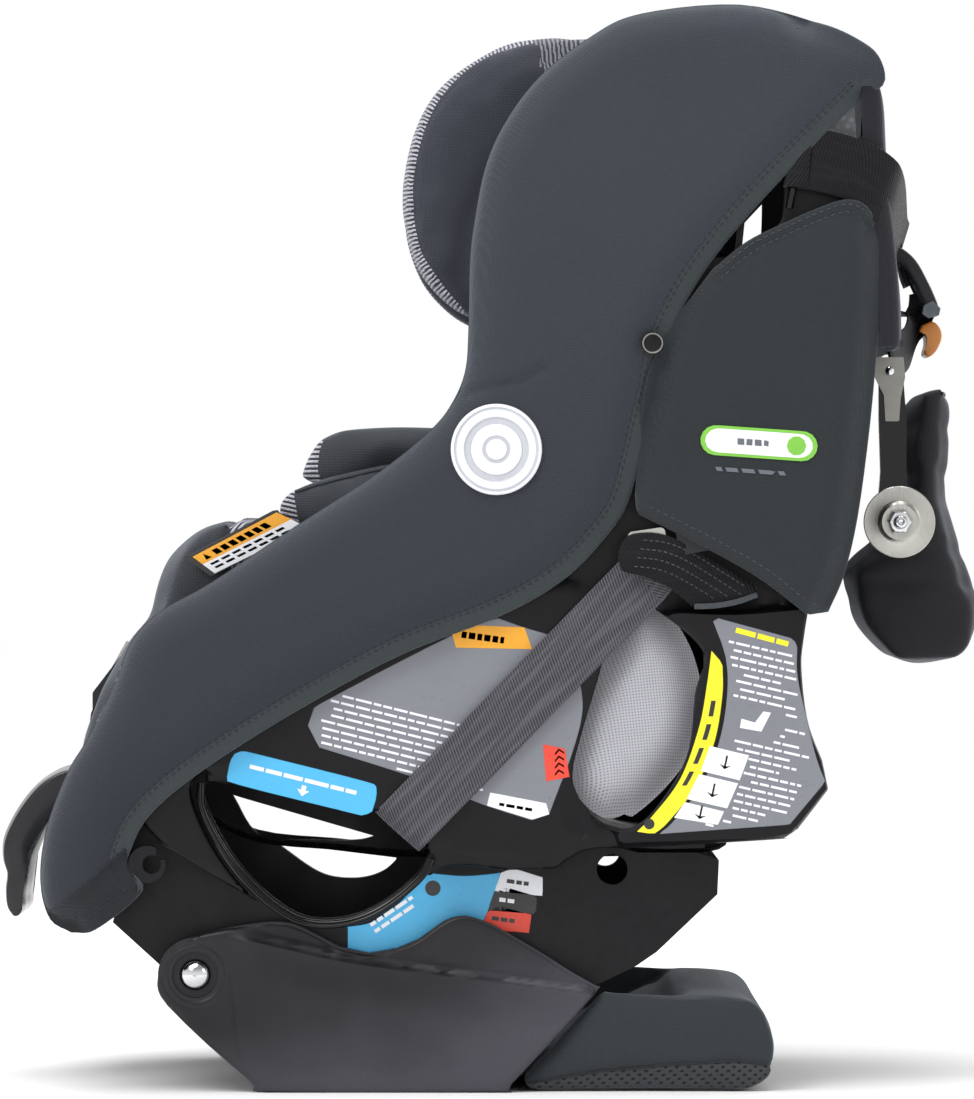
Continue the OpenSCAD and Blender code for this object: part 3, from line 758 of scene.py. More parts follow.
def web(name, color, light=1.9, rows=0.0021, sheen=0.5):
    """Woven webbing, with its ribs across the strap and long painted sheen streaks, from the strap's own UVs."""
    n = Nodes(name, color, 0.55, spec=0.4 * sheen + 0.1, Sheen_Weight=sheen, Sheen_Roughness=0.35,
              Sheen_Tint=(0.9, 0.9, 0.95, 1))
    uv = n.node("ShaderNodeUVMap")
    uv.uv_map = "weave"
    p = uv.outputs[0]
    along, over = n.axis((0, 0.1, 0), p), n.axis((0.1, 0, 0), p)
    tilt = n.math("MULTIPLY_ADD", over, 0.5, along)
    rib = n.wave(tilt, rows)
    yarn = n.wave(over, 0.0013)
    t = n.math("MULTIPLY", rib, n.math("MULTIPLY_ADD", yarn, 0.5, 0.5))
    painted_sheen_streak = n.noise(1.0, 2, vector=n.node("ShaderNodeMapping", Vector=p, Scale=(26, 1.6, 1)).outputs[0])
    c = n.mix(n.span(t, 0.1, 0.7), n.shade(0.55), n.shade(light))
    # Painted sheen: long lighter streaks along the strap.
    c = n.tint(c, painted_sheen_streak, 0.42, 0.68, 0.4, light * 1.4)
    n.set_color(c)
    n.add_bump(t, 0.0004, 0.9)
    return n.m


def netting(name, color, hole, size=0.0036, rough=0.7, sharp=(0.35, 0.5), turn=True, deep=0.0008):
    """Open mesh fabric: holes on a diagonal or a square grid."""
    n = Nodes(name, color, rough, spec=0.3, Sheen_Weight=0.2, Sheen_Roughness=0.4)
    if turn:
        a, b = n.wave(n.axis((0.7, 0.5, 1)), size), n.wave(n.axis((0.7, 0.5, -1)), size)
    else:
        a, b = n.wave(n.axis((1, 0.6, 0.1)), size), n.wave(n.axis((-0.1, 0.3, 1)), size)
    h = n.span(n.math("MULTIPLY", a, b), *sharp)
    slow = n.noise(30, 3)
    c = n.tint(color, slow, 0.35, 0.7, 0.4, 0.75)
    n.set_color(n.mix(h, c, hole))
    n.add_bump(n.math("SUBTRACT", 1.0, h), deep, 0.8)
    return n.m


def film(name, color, rough=0.32):
    """Printed sticker film: faint mottling, soft gloss and orange peel."""
    n = Nodes(name, color, rough, spec=0.5, Coat_Weight=0.25, Coat_Roughness=0.25)
    n.set_color(n.tint(color, n.noise(40, 4), 0.35, 0.75, 0.35, 0.84))
    n.set_rough(n.span(n.noise(90, 3), 0.3, 0.7, (rough - 0.05, rough + 0.12)))
    n.add_bump(n.noise(260, 2), 0.00006, 0.6)
    return n.m


def beads(name, color):
    n = Nodes(name, color, 0.75, spec=0.3)
    v = n.voronoi(230)
    n.set_color(n.mix(n.span(v, 0.15, 0.6), n.shade(1.15), n.shade(0.72)))
    n.add_bump(n.math("SUBTRACT", 1.0, v), 0.0006, 0.7)
    return n.m


# The wing fabric carries painted shade that darkens it towards the bottom (low=0.6).
WING = cloth("wing_fabric", srgb(51, 55, 62), low=0.6)
# A darker copy of the wing fabric for the foot panel below the foot seam: painted shade.
WING_SHADED = cloth("wing_fabric_painted_shade", srgb(34, 37, 40))
FLAP = cloth("flap_fabric", srgb(39, 43, 46))
REAR = cloth("rear_fabric", srgb(30, 29, 35))
BINDING = cloth("binding", srgb(54, 60, 62), period=0.0013, contrast=0.1)
LIGHT_STRIPE, DARK_STRIPE = srgb(176, 176, 184), srgb(46, 45, 54)
SEAT = cloth("seat_fabric", srgb(54, 57, 62), stripe=(DARK_STRIPE, LIGHT_STRIPE, 3.3))
HEAD = cloth("headrest_fabric", srgb(50, 53, 61), stripe=(DARK_STRIPE, LIGHT_STRIPE, 2.9))
WEDGE = cloth("wedge_fabric", srgb(46, 51, 54))
BAG = cloth("bag_nylon", srgb(26, 25, 30), period=0.0011, contrast=0.25, rough=0.6, bump=0.0002)
PIPING = cloth("piping", srgb(52, 56, 61), period=0.0012, contrast=0.08)
THREAD = cloth("thread", srgb(34, 36, 40), period=0.0009, contrast=0.2, rough=0.6)
THREAD_LIGHT = cloth("light_thread", srgb(66, 70, 74), period=0.0009, contrast=0.2, rough=0.6)
# The base carries a painted floor reflection that lightens its lower part (lift=True).
BASE = moulded("base_plastic", srgb(26, 25, 29), rough=0.3, grain=0.00004, painted_cloudy_sheen=0.5, spec=0.3, lift=True)
SHELL = moulded("shell_plastic", srgb(14, 13, 16), rough=0.36, spec=0.22)
SHELL_GLOSS = moulded("rim_plastic", srgb(8, 8, 10), rough=0.16, spec=0.2, coat=0.35, grain=0.00001, painted_cloudy_sheen=0.1)
HANDLE = moulded("handle_plastic", srgb(26, 26, 31), rough=0.27, spec=0.3, grain=0.00002, coat=0.25, painted_cloudy_sheen=0.15,
                 wear=1.25)
HARDWARE = moulded("hardware_plastic", srgb(26, 27, 30), rough=0.34, spec=0.3)
GREY_PART = moulded("grey_plastic", srgb(76, 82, 88), rough=0.38)
RED_PART = moulded("red_plastic", srgb(205, 40, 28), rough=0.3, coat=0.2, wear=1.15)
ORANGE_PART = moulded("orange_plastic", srgb(190, 118, 44), rough=0.35, coat=0.15, wear=1.15)
STEEL = metal("zinc_steel", srgb(186, 184, 178), 0.32)
STEEL_DARK = metal("hook_steel", srgb(150, 148, 142), 0.38, brushed=(1, 0, 0))
CHROME = metal("dome_steel", srgb(215, 216, 218), 0.12, scratch=0.00001)
# Both webbings carry painted sheen streaks along their length.
WEB = web("webbing", srgb(58, 57, 62), light=2.5, sheen=0.35)
WEB_DARK = web("dark_webbing", srgb(15, 15, 18), light=2.2, sheen=0.15)
MESH = netting("side_mesh", srgb(176, 176, 182), srgb(118, 120, 128), size=0.0019, turn=False, deep=0.0003,
               sharp=(0.3, 0.8))
WEDGE_MESH = netting("wedge_mesh", srgb(58, 60, 64), srgb(18, 19, 20), size=0.0052, sharp=(0.42, 0.56))
FOAM = beads("bead_foam", srgb(168, 172, 176))
BLUE = film("blue_film", srgb(70, 176, 226))
YELLOW = film("yellow_film", srgb(238, 232, 26))
GREY_FILM = film("grey_film", srgb(120, 122, 130))
WHITE_FILM = film("white_film", srgb(234, 235, 240))
BLACK_FILM = film("black_film", srgb(28, 27, 30))
RED_FILM = film("red_film", srgb(226, 62, 38))
ORANGE_FILM = film("orange_film", srgb(236, 164, 28))
GREEN_FILM = film("green_film", srgb(120, 190, 62))
SILVER = moulded("badge_silver", srgb(188, 190, 197), rough=0.3, coat=0.3, wear=1.1, painted_cloudy_sheen=0.1)
BADGE = moulded("badge_white", srgb(226, 227, 233), rough=0.3, coat=0.3, wear=1.05, painted_cloudy_sheen=0.1)
BADGE_DARK = moulded("badge_dark", srgb(92, 95, 103), rough=0.35, wear=1.2)


# ---- camera, light and floor ----

def setup_stage():
    scene = bpy.context.scene
    scene.view_settings.view_transform = "Standard"
    cam = bpy.data.objects.new("camera", bpy.data.cameras.new("camera"))
    cam.data.lens, cam.data.sensor_width = CAMERA_LENS, CAMERA_SENSOR
    cam.location = CAMERA
    cam.rotation_euler = (math.radians(90), 0, 0)
    cam.data.clip_end = 200
    scene.collection.objects.link(cam)
    scene.camera = cam
    world = bpy.data.worlds.new("studio")
    world.use_nodes = True
    world.node_tree.nodes["Background"].inputs[0].default_value = (1, 1, 1, 1)
    t = world.node_tree
    where = t.nodes.new("ShaderNodeTexCoord").outputs["Generated"]
    split = t.nodes.new("ShaderNodeSeparateXYZ")
    t.links.new(where, split.inputs[0])
    fade = t.nodes.new("ShaderNodeMapRange")
    fade.interpolation_type = "SMOOTHSTEP"
    for i, v in enumerate((0.12, 0.75, 1.0, 0.4), 1):
        fade.inputs[i].default_value = v
    t.links.new(split.outputs["Z"], fade.inputs[0])
    t.links.new(fade.outputs[0], t.nodes["Background"].inputs[1])
    scene.world = world
    sun = bpy.data.objects.new("sun", bpy.data.lights.new("sun", "SUN"))
    sun.data.energy, sun.data.angle = 1.9, math.radians(50)
    sun.rotation_euler = (math.radians(16), math.radians(-12), 0)
    scene.collection.objects.link(sun)
    lamps = (("key", (-1.6, -2.2, 2.4), 1.3, 34), ("top", (0.2, 0.6, 2.6), 1.8, 22),
             ("side", (2.6, -1.4, 1.5), 1.0, 8), ("rear", (1.4, 2.8, 1.8), 1.6, 16))
    for name, at, size, power in lamps:
        data = bpy.data.lights.new(name, "AREA")
        data.size, data.energy = size, power
        o = bpy.data.objects.new(name, data)
        o.location = at
        o.rotation_euler = (Vector((0, 0, 0.3)) - Vector(at)).to_track_quat("-Z", "Y").to_euler()
        scene.collection.objects.link(o)
    n = 48
    rings = [[(r * math.cos(a) * 1000, r * math.sin(a) * 1000, -0.6) for a in np.linspace(0, 2 * math.pi, n, False)]
             for r in (0.001, 1.0, 4.0, 30.0)]
    v, f = loft(rings, caps=False)
    m = Nodes("floor_paper", (0.93, 0.93, 0.93), 0.8, spec=0.1)
    m.set_color(m.mix(m.math("MULTIPLY", m.noise(3, 2), 0.4), (0.93, 0.93, 0.93), (0.91, 0.91, 0.915)))
    m.add_bump(m.noise(400, 2), 0.0001, 0.3)
    floor = new_object("floor", v, f, m.m, close=False)
    if floor.data.polygons[0].normal.z < 0:
        floor.data.flip_normals()
    floor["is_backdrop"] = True


setup_stage()

# ---- sizes read from the frame ----

COVER_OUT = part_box("side_cover_right")[1].y * 1000
SHELL_IN = 179.0
SHELL_OUT = SHELL_IN + 5
GUIDE_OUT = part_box("shell_side_right")[1].y * 1000
BASE_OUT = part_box("pivot_rod")[1].y * 1000 - 2
PIVOT = ((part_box("pivot_rod")[0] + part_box("pivot_rod")[1]) / 2 * 1000).xz
LINING_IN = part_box("side_cover_right")[0].y * 1000
SIDES = (("left", -1), ("right", 1))


def place3(path, y):
    """An XZ path as 3-D points at one Y, or at Y given per point."""
    p = arr(path)
    return np.stack([p[:, 0], np.broadcast_to(y, len(p)), p[:, 1]], 1)


def inset(path, off, outline):
    """A path beside another one, on the inner side of an outline."""
    q = beside(path, off)
    return beside(path, -off) if depth(q[len(q) // 2:][:1], outline)[0] < 0 else q


def seam(path, s, face, lift, r=0.36, outline=None, margin=0.0):
    """A row of stitches that lies on a face, where it is deeper than margin inside the outline."""
    q = resample(path, 5)
    if outline is not None:
        q = q[depth(q, outline) > margin]
    return stitches(place3(q, s * (face(q) + lift)), (0, s, 0), 3.0, 1.9, r)


# ---- base: moulded side plates ----

base_outline = soften([(-205, 92), (-212, 75), (-206, 55), (-152, 6), (-140, 0), (8, 0), (15, 4), (69, 62), (70, 68),
                       (54, 77), (37, 88), (20, 98), (2, 108), (-14, 113), (-27, 110), (-44, 98), (-58, 92),
                       (-76, 89), (-95, 93), (-112, 102), (-126, 108), (-142, 109), (-168, 105), (-192, 99)], 60)
base_crease = smooth_path([(-186, 99), (-160, 101), (-130, 95), (-94, 87), (-20, 76), (64, 65)])
base_seam = smooth_path([(-166, 82), (-163, 55), (-159, 22)])
ring = arr([(math.cos(a), math.sin(a)) for a in np.linspace(0, 2 * math.pi, 40, False)])


def base_face(P):
    d = depth(P, base_outline)
    lower_part = np.vstack([base_crease, [(120, 60), (120, -50), (-300, -50), (-300, 99)]])
    below = np.where(inside(P, lower_part), 1.0, 0.0)
    c = distance(P, base_crease)
    y = BASE_OUT + 3.2 + below * (0.2 + 3.0 * step(0, 3.2, c) + 2.4 * step(6, 30, c))
    y -= (1 - below) * (0.4 + 2.2 * step(0, 5, c) * step(-200, -150, P[:, 0]))
    y -= 1.2 * step(14, 40, c) * below * step(60, -60, P[:, 0])
    skirt = step(20, 14, P[:, 1]) * step(-150, -128, P[:, 0]) * step(22, 8, P[:, 0])
    y += 1.3 * skirt
    r = np.hypot(P[:, 0] - PIVOT[0], P[:, 1] - PIVOT[1])
    hub = step(46, 25, r)
    y = y * (1 - hub) + hub * (BASE_OUT + 3.6 - 0.9 * np.exp(-((r - 20.5) / 1.3) ** 2) - 1.2 * step(18, 16, r))
    y -= 0.55 * hill(distance(P, base_seam), 0.7)
    return y - roll_off(np.maximum(d, 0), 3.2)


for name, s in SIDES:
    hub = arr(PIVOT) + 15.2 * ring
    rings = [arr(PIVOT) + r * ring for r in (18.6, 20.5, 22.6, 25.5)]
    lines = [base_seam, beside(base_seam, 1.2), beside(base_seam, -1.2)]
    lines += [beside(base_crease, k) for k in (-8, -5, -3.2, -1.6, 0, 1.6, 3.2, 5)]
    lines += [closed(r) for r in rings]
    o = plate(f"base_side_{name}", base_outline, base_face, BASE_OUT + 0.05, s, BASE, holes=[hub], lines=lines,
              grid=5, rows=(0.25, 0.9, 1.9, 3.3), sharp=34)
    put(o, "base")

# ---- stabiliser wedge ----

wedge = puff("wedge_cover", [CAD["stabiliser_cover"], CAD["stabiliser_mesh"]], [WEDGE, WEDGE_MESH], voxel=3.6,
             soften_by=5, shrink=1.2, cap=2.6, pressure=1.5, subdivide=1)
keep_in(wedge, 2, 0.0, above=True)
band = lambda x: np.interp(x, [20, 33, 73, 117, 161, 186], [4, 6, 13, 17, 19.5, 16])
groove(wedge, place3([(x, band(x)) for x in np.arange(20, 190, 3)], 0), 2.0, 1.3, plane=(0, 2))
paint(wedge, lambda c, n: (c[:, 2] < band(c[:, 0])) & (n[:, 2] > -0.9))
put(wedge, "stabiliser", ("stabiliser_cover", "stabiliser_mesh"))
tree = surface_tree(wedge)
parts = []
for s in (-1, 1):
    hem = cast(tree, place3([(x, band(x)) for x in np.arange(24, 186, 3)], s * 190), (0, -s, 0), 0.1)
    parts.append((*tube_part(hem, 0.9, 6), 0))
put_parts("wedge_hem", parts, THREAD, "stabiliser")

# ---- shell panels ----

shell_loops = cad_loops("shell_side_right", SHELL_IN)
shell_outline = soften(shell_loops[0], 45)
holes = [soften(q, 60) for q in shell_loops[1:]]
rear_window = soften([(-181, 199), (-150, 195), (-100, 186), (-62, 178), (-41, 163), (-40, 147), (-56, 130),
                      (-76, 117), (-98, 111), (-122, 114), (-146, 131), (-166, 155), (-180, 182)], 60)
guide = soften([(118, 196), (98, 173), (80, 170), (84, 158), (150, 160), (190, 163), (201, 170), (221, 195),
                (217, 214), (208, 238), (204, 269), (205, 290), (208, 314), (160, 310), (122, 311), (113, 307),
                (139, 283), (134, 258), (130, 222)], 45)
pad = soften([(-206, 214), (-120, 186), (-60, 178), (-36, 158), (8, 147), (45, 149), (61, 166), (52, 190),
              (57, 235), (70, 276), (84, 312), (40, 330), (-60, 300), (-160, 236)], 60)
ridge = smooth_path([(-36, 156), (-12, 150), (8, 145), (30, 144), (48, 149), (66, 166)])
groin = smooth_path([(-206, 158), (-160, 130), (-126, 111)])


def shell_face(P):
    d = depth(P, shell_outline)
    for q in holes:
        d = np.minimum(d, distance(P, q, True))
    y = SHELL_OUT - 1.8 + 2.6 * step(-1, 3, depth(P, pad)) \
        + (GUIDE_OUT - SHELL_OUT + 1.8) * step(-1, 3, depth(P, guide))
    y += 1.6 * hill(distance(P, ridge), 2.4)
    y = np.minimum(y, GUIDE_OUT)
    y -= 2.0 * step(1.5, -1.5, (P[:, 1] - np.interp(P[:, 0], groin[:, 0], groin[:, 1]))) * (P[:, 0] < -120)
    return y - roll_off(np.maximum(d, 0), 2.2)


for name, s in SIDES:
    lines = [closed(q) for q in (guide, pad, beside(guide, 3, True), beside(guide, -3, True))]
    lines += [ridge, beside(ridge, 3), beside(ridge, -3), groin]
    o = plate(f"shell_panel_{name}", shell_outline, shell_face, SHELL_IN, s, SHELL, holes=holes, lines=lines,
              grid=6, rows=(0.3, 1.1, 2.3), sharp=38)
    put(o, "shell", f"shell_side_{name}")
    # flange and glossy rim of the rearward belt path
    i, j = nearest(rear_window, (-181, 199)), nearest(rear_window, (-41, 152))
    run = np.roll(rear_window, -i, 0)[:(j - i) % len(rear_window) + 1]
    if run[:, 1].mean() > rear_window[:, 1].mean():
        run = np.roll(rear_window, -j, 0)[:(i - j) % len(rear_window) + 1][::-1]
    away = 1 if distance(beside(run, 3)[len(run) // 2:][:1], [rear_window.mean(0)] * 2)[0] > \
        distance(run[len(run) // 2:][:1], [rear_window.mean(0)] * 2)[0] else -1
    profile = [(0.2, 179.4), (0.2, 186.2), (1.0, 187.6), (2.6, 187.9), (3.6, 186.8), (4.4, 186.8), (5.6, 187.6),
               (7.2, 187.0), (8.2, 185.0), (8.2, 182.0), (1.6, 180.5), (1.6, 179.4)]
    n = len(profile)
    rings = []
    run = resample(run, 4)
    for k in range(len(run)):
        rings.append([])
    for w, y in profile:
        q = place3(beside(run, away * w * 0.66), s * y)
        for k in range(len(run)):
            rings[k].append(q[k])
    v, f = loft(rings)
    put(new_object(f"belt_rim_{name}", v, f, SHELL_GLOSS, sharp=60), "shell")

# ---- labels ----

def words(origin, width, rows, pitch, tilt, height=1.5, fill=0.9, long=(4, 13), clip=None):
    """Rows of short dashes that stand for small print, as rectangles of four corners."""
    a = math.radians(tilt)
    u, v = arr((math.cos(a), math.sin(a))), arr((math.sin(a), -math.cos(a)))
    out = []
    for r in range(rows):
        x, end = 0.0, width * rng.uniform(fill * 0.8, 1)
        while x < end - 2:
            w = min(rng.uniform(*long), end - x)
            p = arr(origin) + u * x + v * r * pitch
            box = arr([p, p + u * w, p + u * w + v * height, p + v * height])
            if clip is None or (depth(box, clip) > 0.8).all():
                out.append(box)
            x += w + 1.3
    return out


def ink(mat, *args, **kw):
    """Small print in one film, as prints of a sticker."""
    return [(b, mat) for b in words(*args, **kw)]


def sticker(name, s, outline, y, base, prints, body, corner=3.0):
    """Sticker film on a side, with printed shapes as (outline, material) that stand a hair above it."""
    mats = [base]
    outline = soften(outline, 25) if corner else arr(outline)
    const = lambda P, v=y: np.full(len(P), v + 0.45) - roll_off(np.maximum(depth(P, outline), 0), 0.3)
    v, f, _ = plate_mesh(outline, const, lambda P: np.full(len(P), y - 0.6), s, grid=7, rows=(0.3,))
    parts = [(v, f, 0)]
    for shape, m in prints:
        if m not in mats:
            mats.append(m)
        q = arr(shape)
        n = len(q)
        top, low = place3(q, s * (y + 0.62)), place3(q, s * (y + 0.3))
        faces = [tuple(range(n)), tuple(range(n, 2 * n))[::-1]]
        faces += [(i, (i + 1) % n, (i + 1) % n + n, i + n) for i in range(n)]
        parts.append((np.vstack([top, low]), faces, mats.index(m)))
    v, f, k = join_parts(parts)
    return put(new_object(name, v, f, mats, k, sharp=30), body)


def turned(points, at, tilt, scale=1.0):
    a = math.radians(tilt)
    p = arr(points) * scale
    return np.stack([at[0] + p[:, 0] * math.cos(a) - p[:, 1] * math.sin(a),
                     at[1] + p[:, 0] * math.sin(a) + p[:, 1] * math.cos(a)], 1)


ARROW = [(-1.5, 3), (1.5, 3), (1.5, 0), (4, 0), (0, -4), (-4, 0), (-1.5, 0)]
warn = [(-115, 236), (-111, 248), (-62, 274), (-14, 298), (7, 305), (27, 298), (52, 291), (60, 262), (61, 242),
        (54, 216), (46, 195), (40, 179), (29, 175), (-2, 185), (-48, 203), (-108, 222)]
for name, s in SIDES:
    y = SHELL_OUT + 0.8
    if s < 0:
        clip = soften(warn, 25)
        prints = [([(-24, 301), (24, 299), (29, 285), (-20, 286)], ORANGE_FILM)]
        prints += ink(BLACK_FILM, (-16, 296.5), 34, 1, 5, -8, height=4.2, long=(3, 5))
        text = words((-118, 262), 170, 22, 4.6, -14, clip=clip, long=(4, 12))
        text = [b for b in text if not (inside(b, [(-30, 310), (34, 302), (34, 280), (-30, 284)]).any()
                                        or inside(b, [(32, 229), (56, 222), (50, 172), (-6, 176), (0, 202)]).any())]
        prints += [(b, WHITE_FILM) for b in text]
        prints += [([(36, 224), (50, 221), (53, 203), (38, 200)], RED_FILM)]
        prints += [(turned([(-3, -1), (0, 1.6), (3, -1), (3, 0.4), (0, 3), (-3, 0.4)], (46.5, 205 + 4.4 * k), 10),
                    WHITE_FILM) for k in range(4)]
        prints += [([(2, 193), (38, 186), (40, 179), (29, 175.6), (0, 184.6)], WHITE_FILM)]
        prints += ink(GREY_FILM, (8, 186.5), 24, 1, 4, -10, height=2, long=(3, 6))
        sticker("notice_label", s, warn, y, GREY_FILM, prints, "shell")
    blue = [(-165, 213), (-162, 218), (-157, 220), (-78, 200), (-71, 196), (-71, 190), (-74, 180), (-80, 178),
            (-160, 198), (-167, 203)]
    prints = ink(WHITE_FILM, (-152, 211), 74, 1, 4, -14, height=2.6, long=(5, 16))
    prints.append((turned(ARROW, (-118, 194.5), -14), WHITE_FILM))
    sticker(f"rearward_label_{name}", s, blue, y, BLUE, prints, "shell")
    y = GUIDE_OUT
    yellow_in = smooth_path([(144, 284), (141, 262), (136, 235), (124, 202), (106, 178), (96, 168)])
    yellow_out = smooth_path([(107, 166.5), (116, 174), (134, 197), (146, 226), (151, 256), (151, 276)])
    strip = np.vstack([yellow_in, yellow_out])
    mid = smooth_path([(147, 262), (141, 232), (129, 202), (112, 178)])
    prints = [(np.vstack([mid[i:i + 3] + (1.5, 0), mid[i:i + 3][::-1] - (1.5, 0)]), BLACK_FILM)
              for i in range(2, len(mid) - 5, 3)]
    prints.append((arr((104, 173)) + 3.4 * ring, BLACK_FILM))
    sticker(f"forward_strip_{name}", s, strip, y, YELLOW, prints, "shell")
    grey = [(145, 303), (148, 305), (196, 292), (199, 288), (199, 269), (204, 244), (211, 216), (217, 200),
            (194, 172.5), (110, 166.5), (119, 174), (137, 197), (149, 226), (154, 256), (153, 280)]
    clip = soften(grey, 40)
    prints = ink(YELLOW, (160, 299), 38, 1, 4, -15, height=3.4, long=(8, 16))
    text = words((150, 292), 74, 26, 4.7, -13, clip=clip, long=(3, 11), fill=0.8)
    panels = [[(143, 223), (168, 217), (162, 201), (137, 207)], [(136, 205), (161, 199), (154, 183), (128, 189)],
              [(127, 187), (152, 181), (148, 172.5), (120, 177)], [(160, 252), (188, 245), (182, 225), (157, 232)]]
    text = [b for b in text if not any(inside(b, q).any() for q in panels)]
    prints += [(b, WHITE_FILM) for b in text] + [(q, WHITE_FILM) for q in panels[:3]]
    prints += [(turned([(-4, -1), (0, -4), (4, -1), (0.6, -2), (0.6, 5), (-0.6, 5), (-0.6, -2)], (x, z), -12),
                BLACK_FILM) for x, z in ((153, 212), (145, 194), (137, 180))]
    prints.append((turned([(-9, -6), (5, -6), (9, 7), (4, 7), (0, -1), (-9, 0)], (172, 239), -10), WHITE_FILM))
    sticker(f"guide_label_{name}", s, grey, y, GREY_FILM, prints, "shell")
    y = -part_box("under_shell")[0].y * 1000
    low = [(-90, 105), (-77, 107), (-65, 113), (-54, 123), (-45, 133), (-39, 140), (-14, 138), (9, 140), (-2, 108),
           (-10, 90), (-50, 84), (-90, 88)]
    prints = [(arr((-35, 130)) + 5 * ring, BLACK_FILM)]
    prints += ink(WHITE_FILM, (-76, 107), 34, 2, 5, 34, height=2.4, long=(4, 9))
    sticker(f"path_label_{name}", s, low, y, BLUE, prints, "shell")
    for k, m in enumerate((WHITE_FILM, BLACK_FILM, RED_FILM)):
        t = [(9 - 4.8 * k, 140 - 13 * k), (17 - 4.8 * k, 143 - 12 * k), (36 - 3.6 * k, 137 - 12 * k),
             (36 - 4.4 * k, 125 - 12 * k), (4.4 - 4.8 * k, 127.4 - 12 * k)]
        prints = ink(WHITE_FILM if k == 1 else BLACK_FILM, (13 - 4.8 * k, 136 - 12 * k), 15, 1, 4, -8,
                     height=2.6, long=(3, 5))
        sticker(f"step_label_{k + 1}_{name}", s, t, y, m, prints, "shell")

# ---- side covers ----

cover_loop = cad_loops("side_cover_right", COVER_OUT)[0]
a, b = nearest(cover_loop, (-267, 103)), nearest(cover_loop, (223, 621))
run1 = np.roll(cover_loop, -a, 0)[:(b - a) % len(cover_loop) + 1]
run2 = np.roll(cover_loop, -b, 0)[:(a - b) % len(cover_loop) + 1]
top_run, low_run = (run1, run2) if run1[:, 1].max() > run2[:, 1].max() else (run2, run1)
if top_run[0][0] > top_run[-1][0]:
    top_run = top_run[::-1]
if low_run[0][0] < low_run[-1][0]:
    low_run = low_run[::-1]
cover_top, cover_low = smooth_path(top_run, 5), smooth_path(low_run, 5)
cover_outline = np.vstack([cover_top[:-1], cover_low[:-1]])
rear_end = nearest(cover_top, (213, 687))
front_top = cover_top[:rear_end]
lining = [(-262, 96), (-258, 160), (-250, 226), (-236, 266), (-214, 290), (-178, 297), (-118, 283), (-57, 257),
          (3, 229), (50, 202), (62, 184), (80, 170), (100, 164), (143, 166), (146, 220), (146, 290), (143, 350),
          (142, 410), (150, 487), (158, 570), (165, 640), (172, 720), (-420, 720), (-420, 96)]
hem_in = inset(cover_low, HEM, cover_outline)
foot_seam = smooth_path([(-232, 158), (-250, 141), (-268, 126), (-284, 116)])
STUD = (106.0, 481.0)
ROUND = 72
FOLD = smooth_path([(-14, 447), (4, 454), (22, 457), (36, 466)])
creases = ((FOLD, 2.6, 2.2), (smooth_path([(-214, 172), (-226, 184), (-238, 192)]), 4.0, 1.2),
           (smooth_path([(-40, 432), (-20, 449), (-8, 452)]), 3.0, 1.0))


def cover_face(P):
    top = distance(P, front_top)
    low = distance(P, cover_low)
    end = distance(P, cover_top[rear_end - 1:])
    y = COVER_OUT - 1.6 - roll_off(top, COVER_ROUND)
    y -= 9.5 * (1 - step(0, 34, low)) ** 1.6 + 8 * (1 - step(0, 26, end)) ** 1.5
    y += 1.3 * np.exp(-((P[:, 0] - 40) / 120) ** 2 - ((P[:, 1] - 560) / 90) ** 2)
    y -= 1.0 * np.exp(-(distance(P, beside(front_top, -8)) / 1.6) ** 2) * step(470, 500, P[:, 1])
    y += 0.7 * step(11.6, 10.4, low) - roll_off(np.minimum(low, end), 2.4)
    for path, wide, deep in creases:
        y -= deep * hill(distance(P, path), wide)
    stud = np.hypot(P[:, 0] - STUD[0], P[:, 1] - STUD[1])
    y -= 1.8 * np.exp(-(np.maximum(stud - 5, 0) / 7) ** 2)
    foot = inside(P, np.vstack([foot_seam, [(-300, 60), (-200, 60)]]))
    y -= np.where(foot, 3.0 * step(0, 3, distance(P, foot_seam)), 0) + 0.8 * hill(distance(P, foot_seam), 1.2)
    return np.maximum(y, SHELL_OUT + 1)


def cover_back(P):
    top = distance(P, front_top)
    room = np.where(inside(P, lining), 0, step(0, 3, distance(P, lining, True)))
    y_in = LINING_IN + roll_off(top, COVER_ROUND)
    y_in = np.minimum(y_in * (1 - room) + (SHELL_OUT + 0.9) * room, cover_face(P) - 0.4)
    return y_in


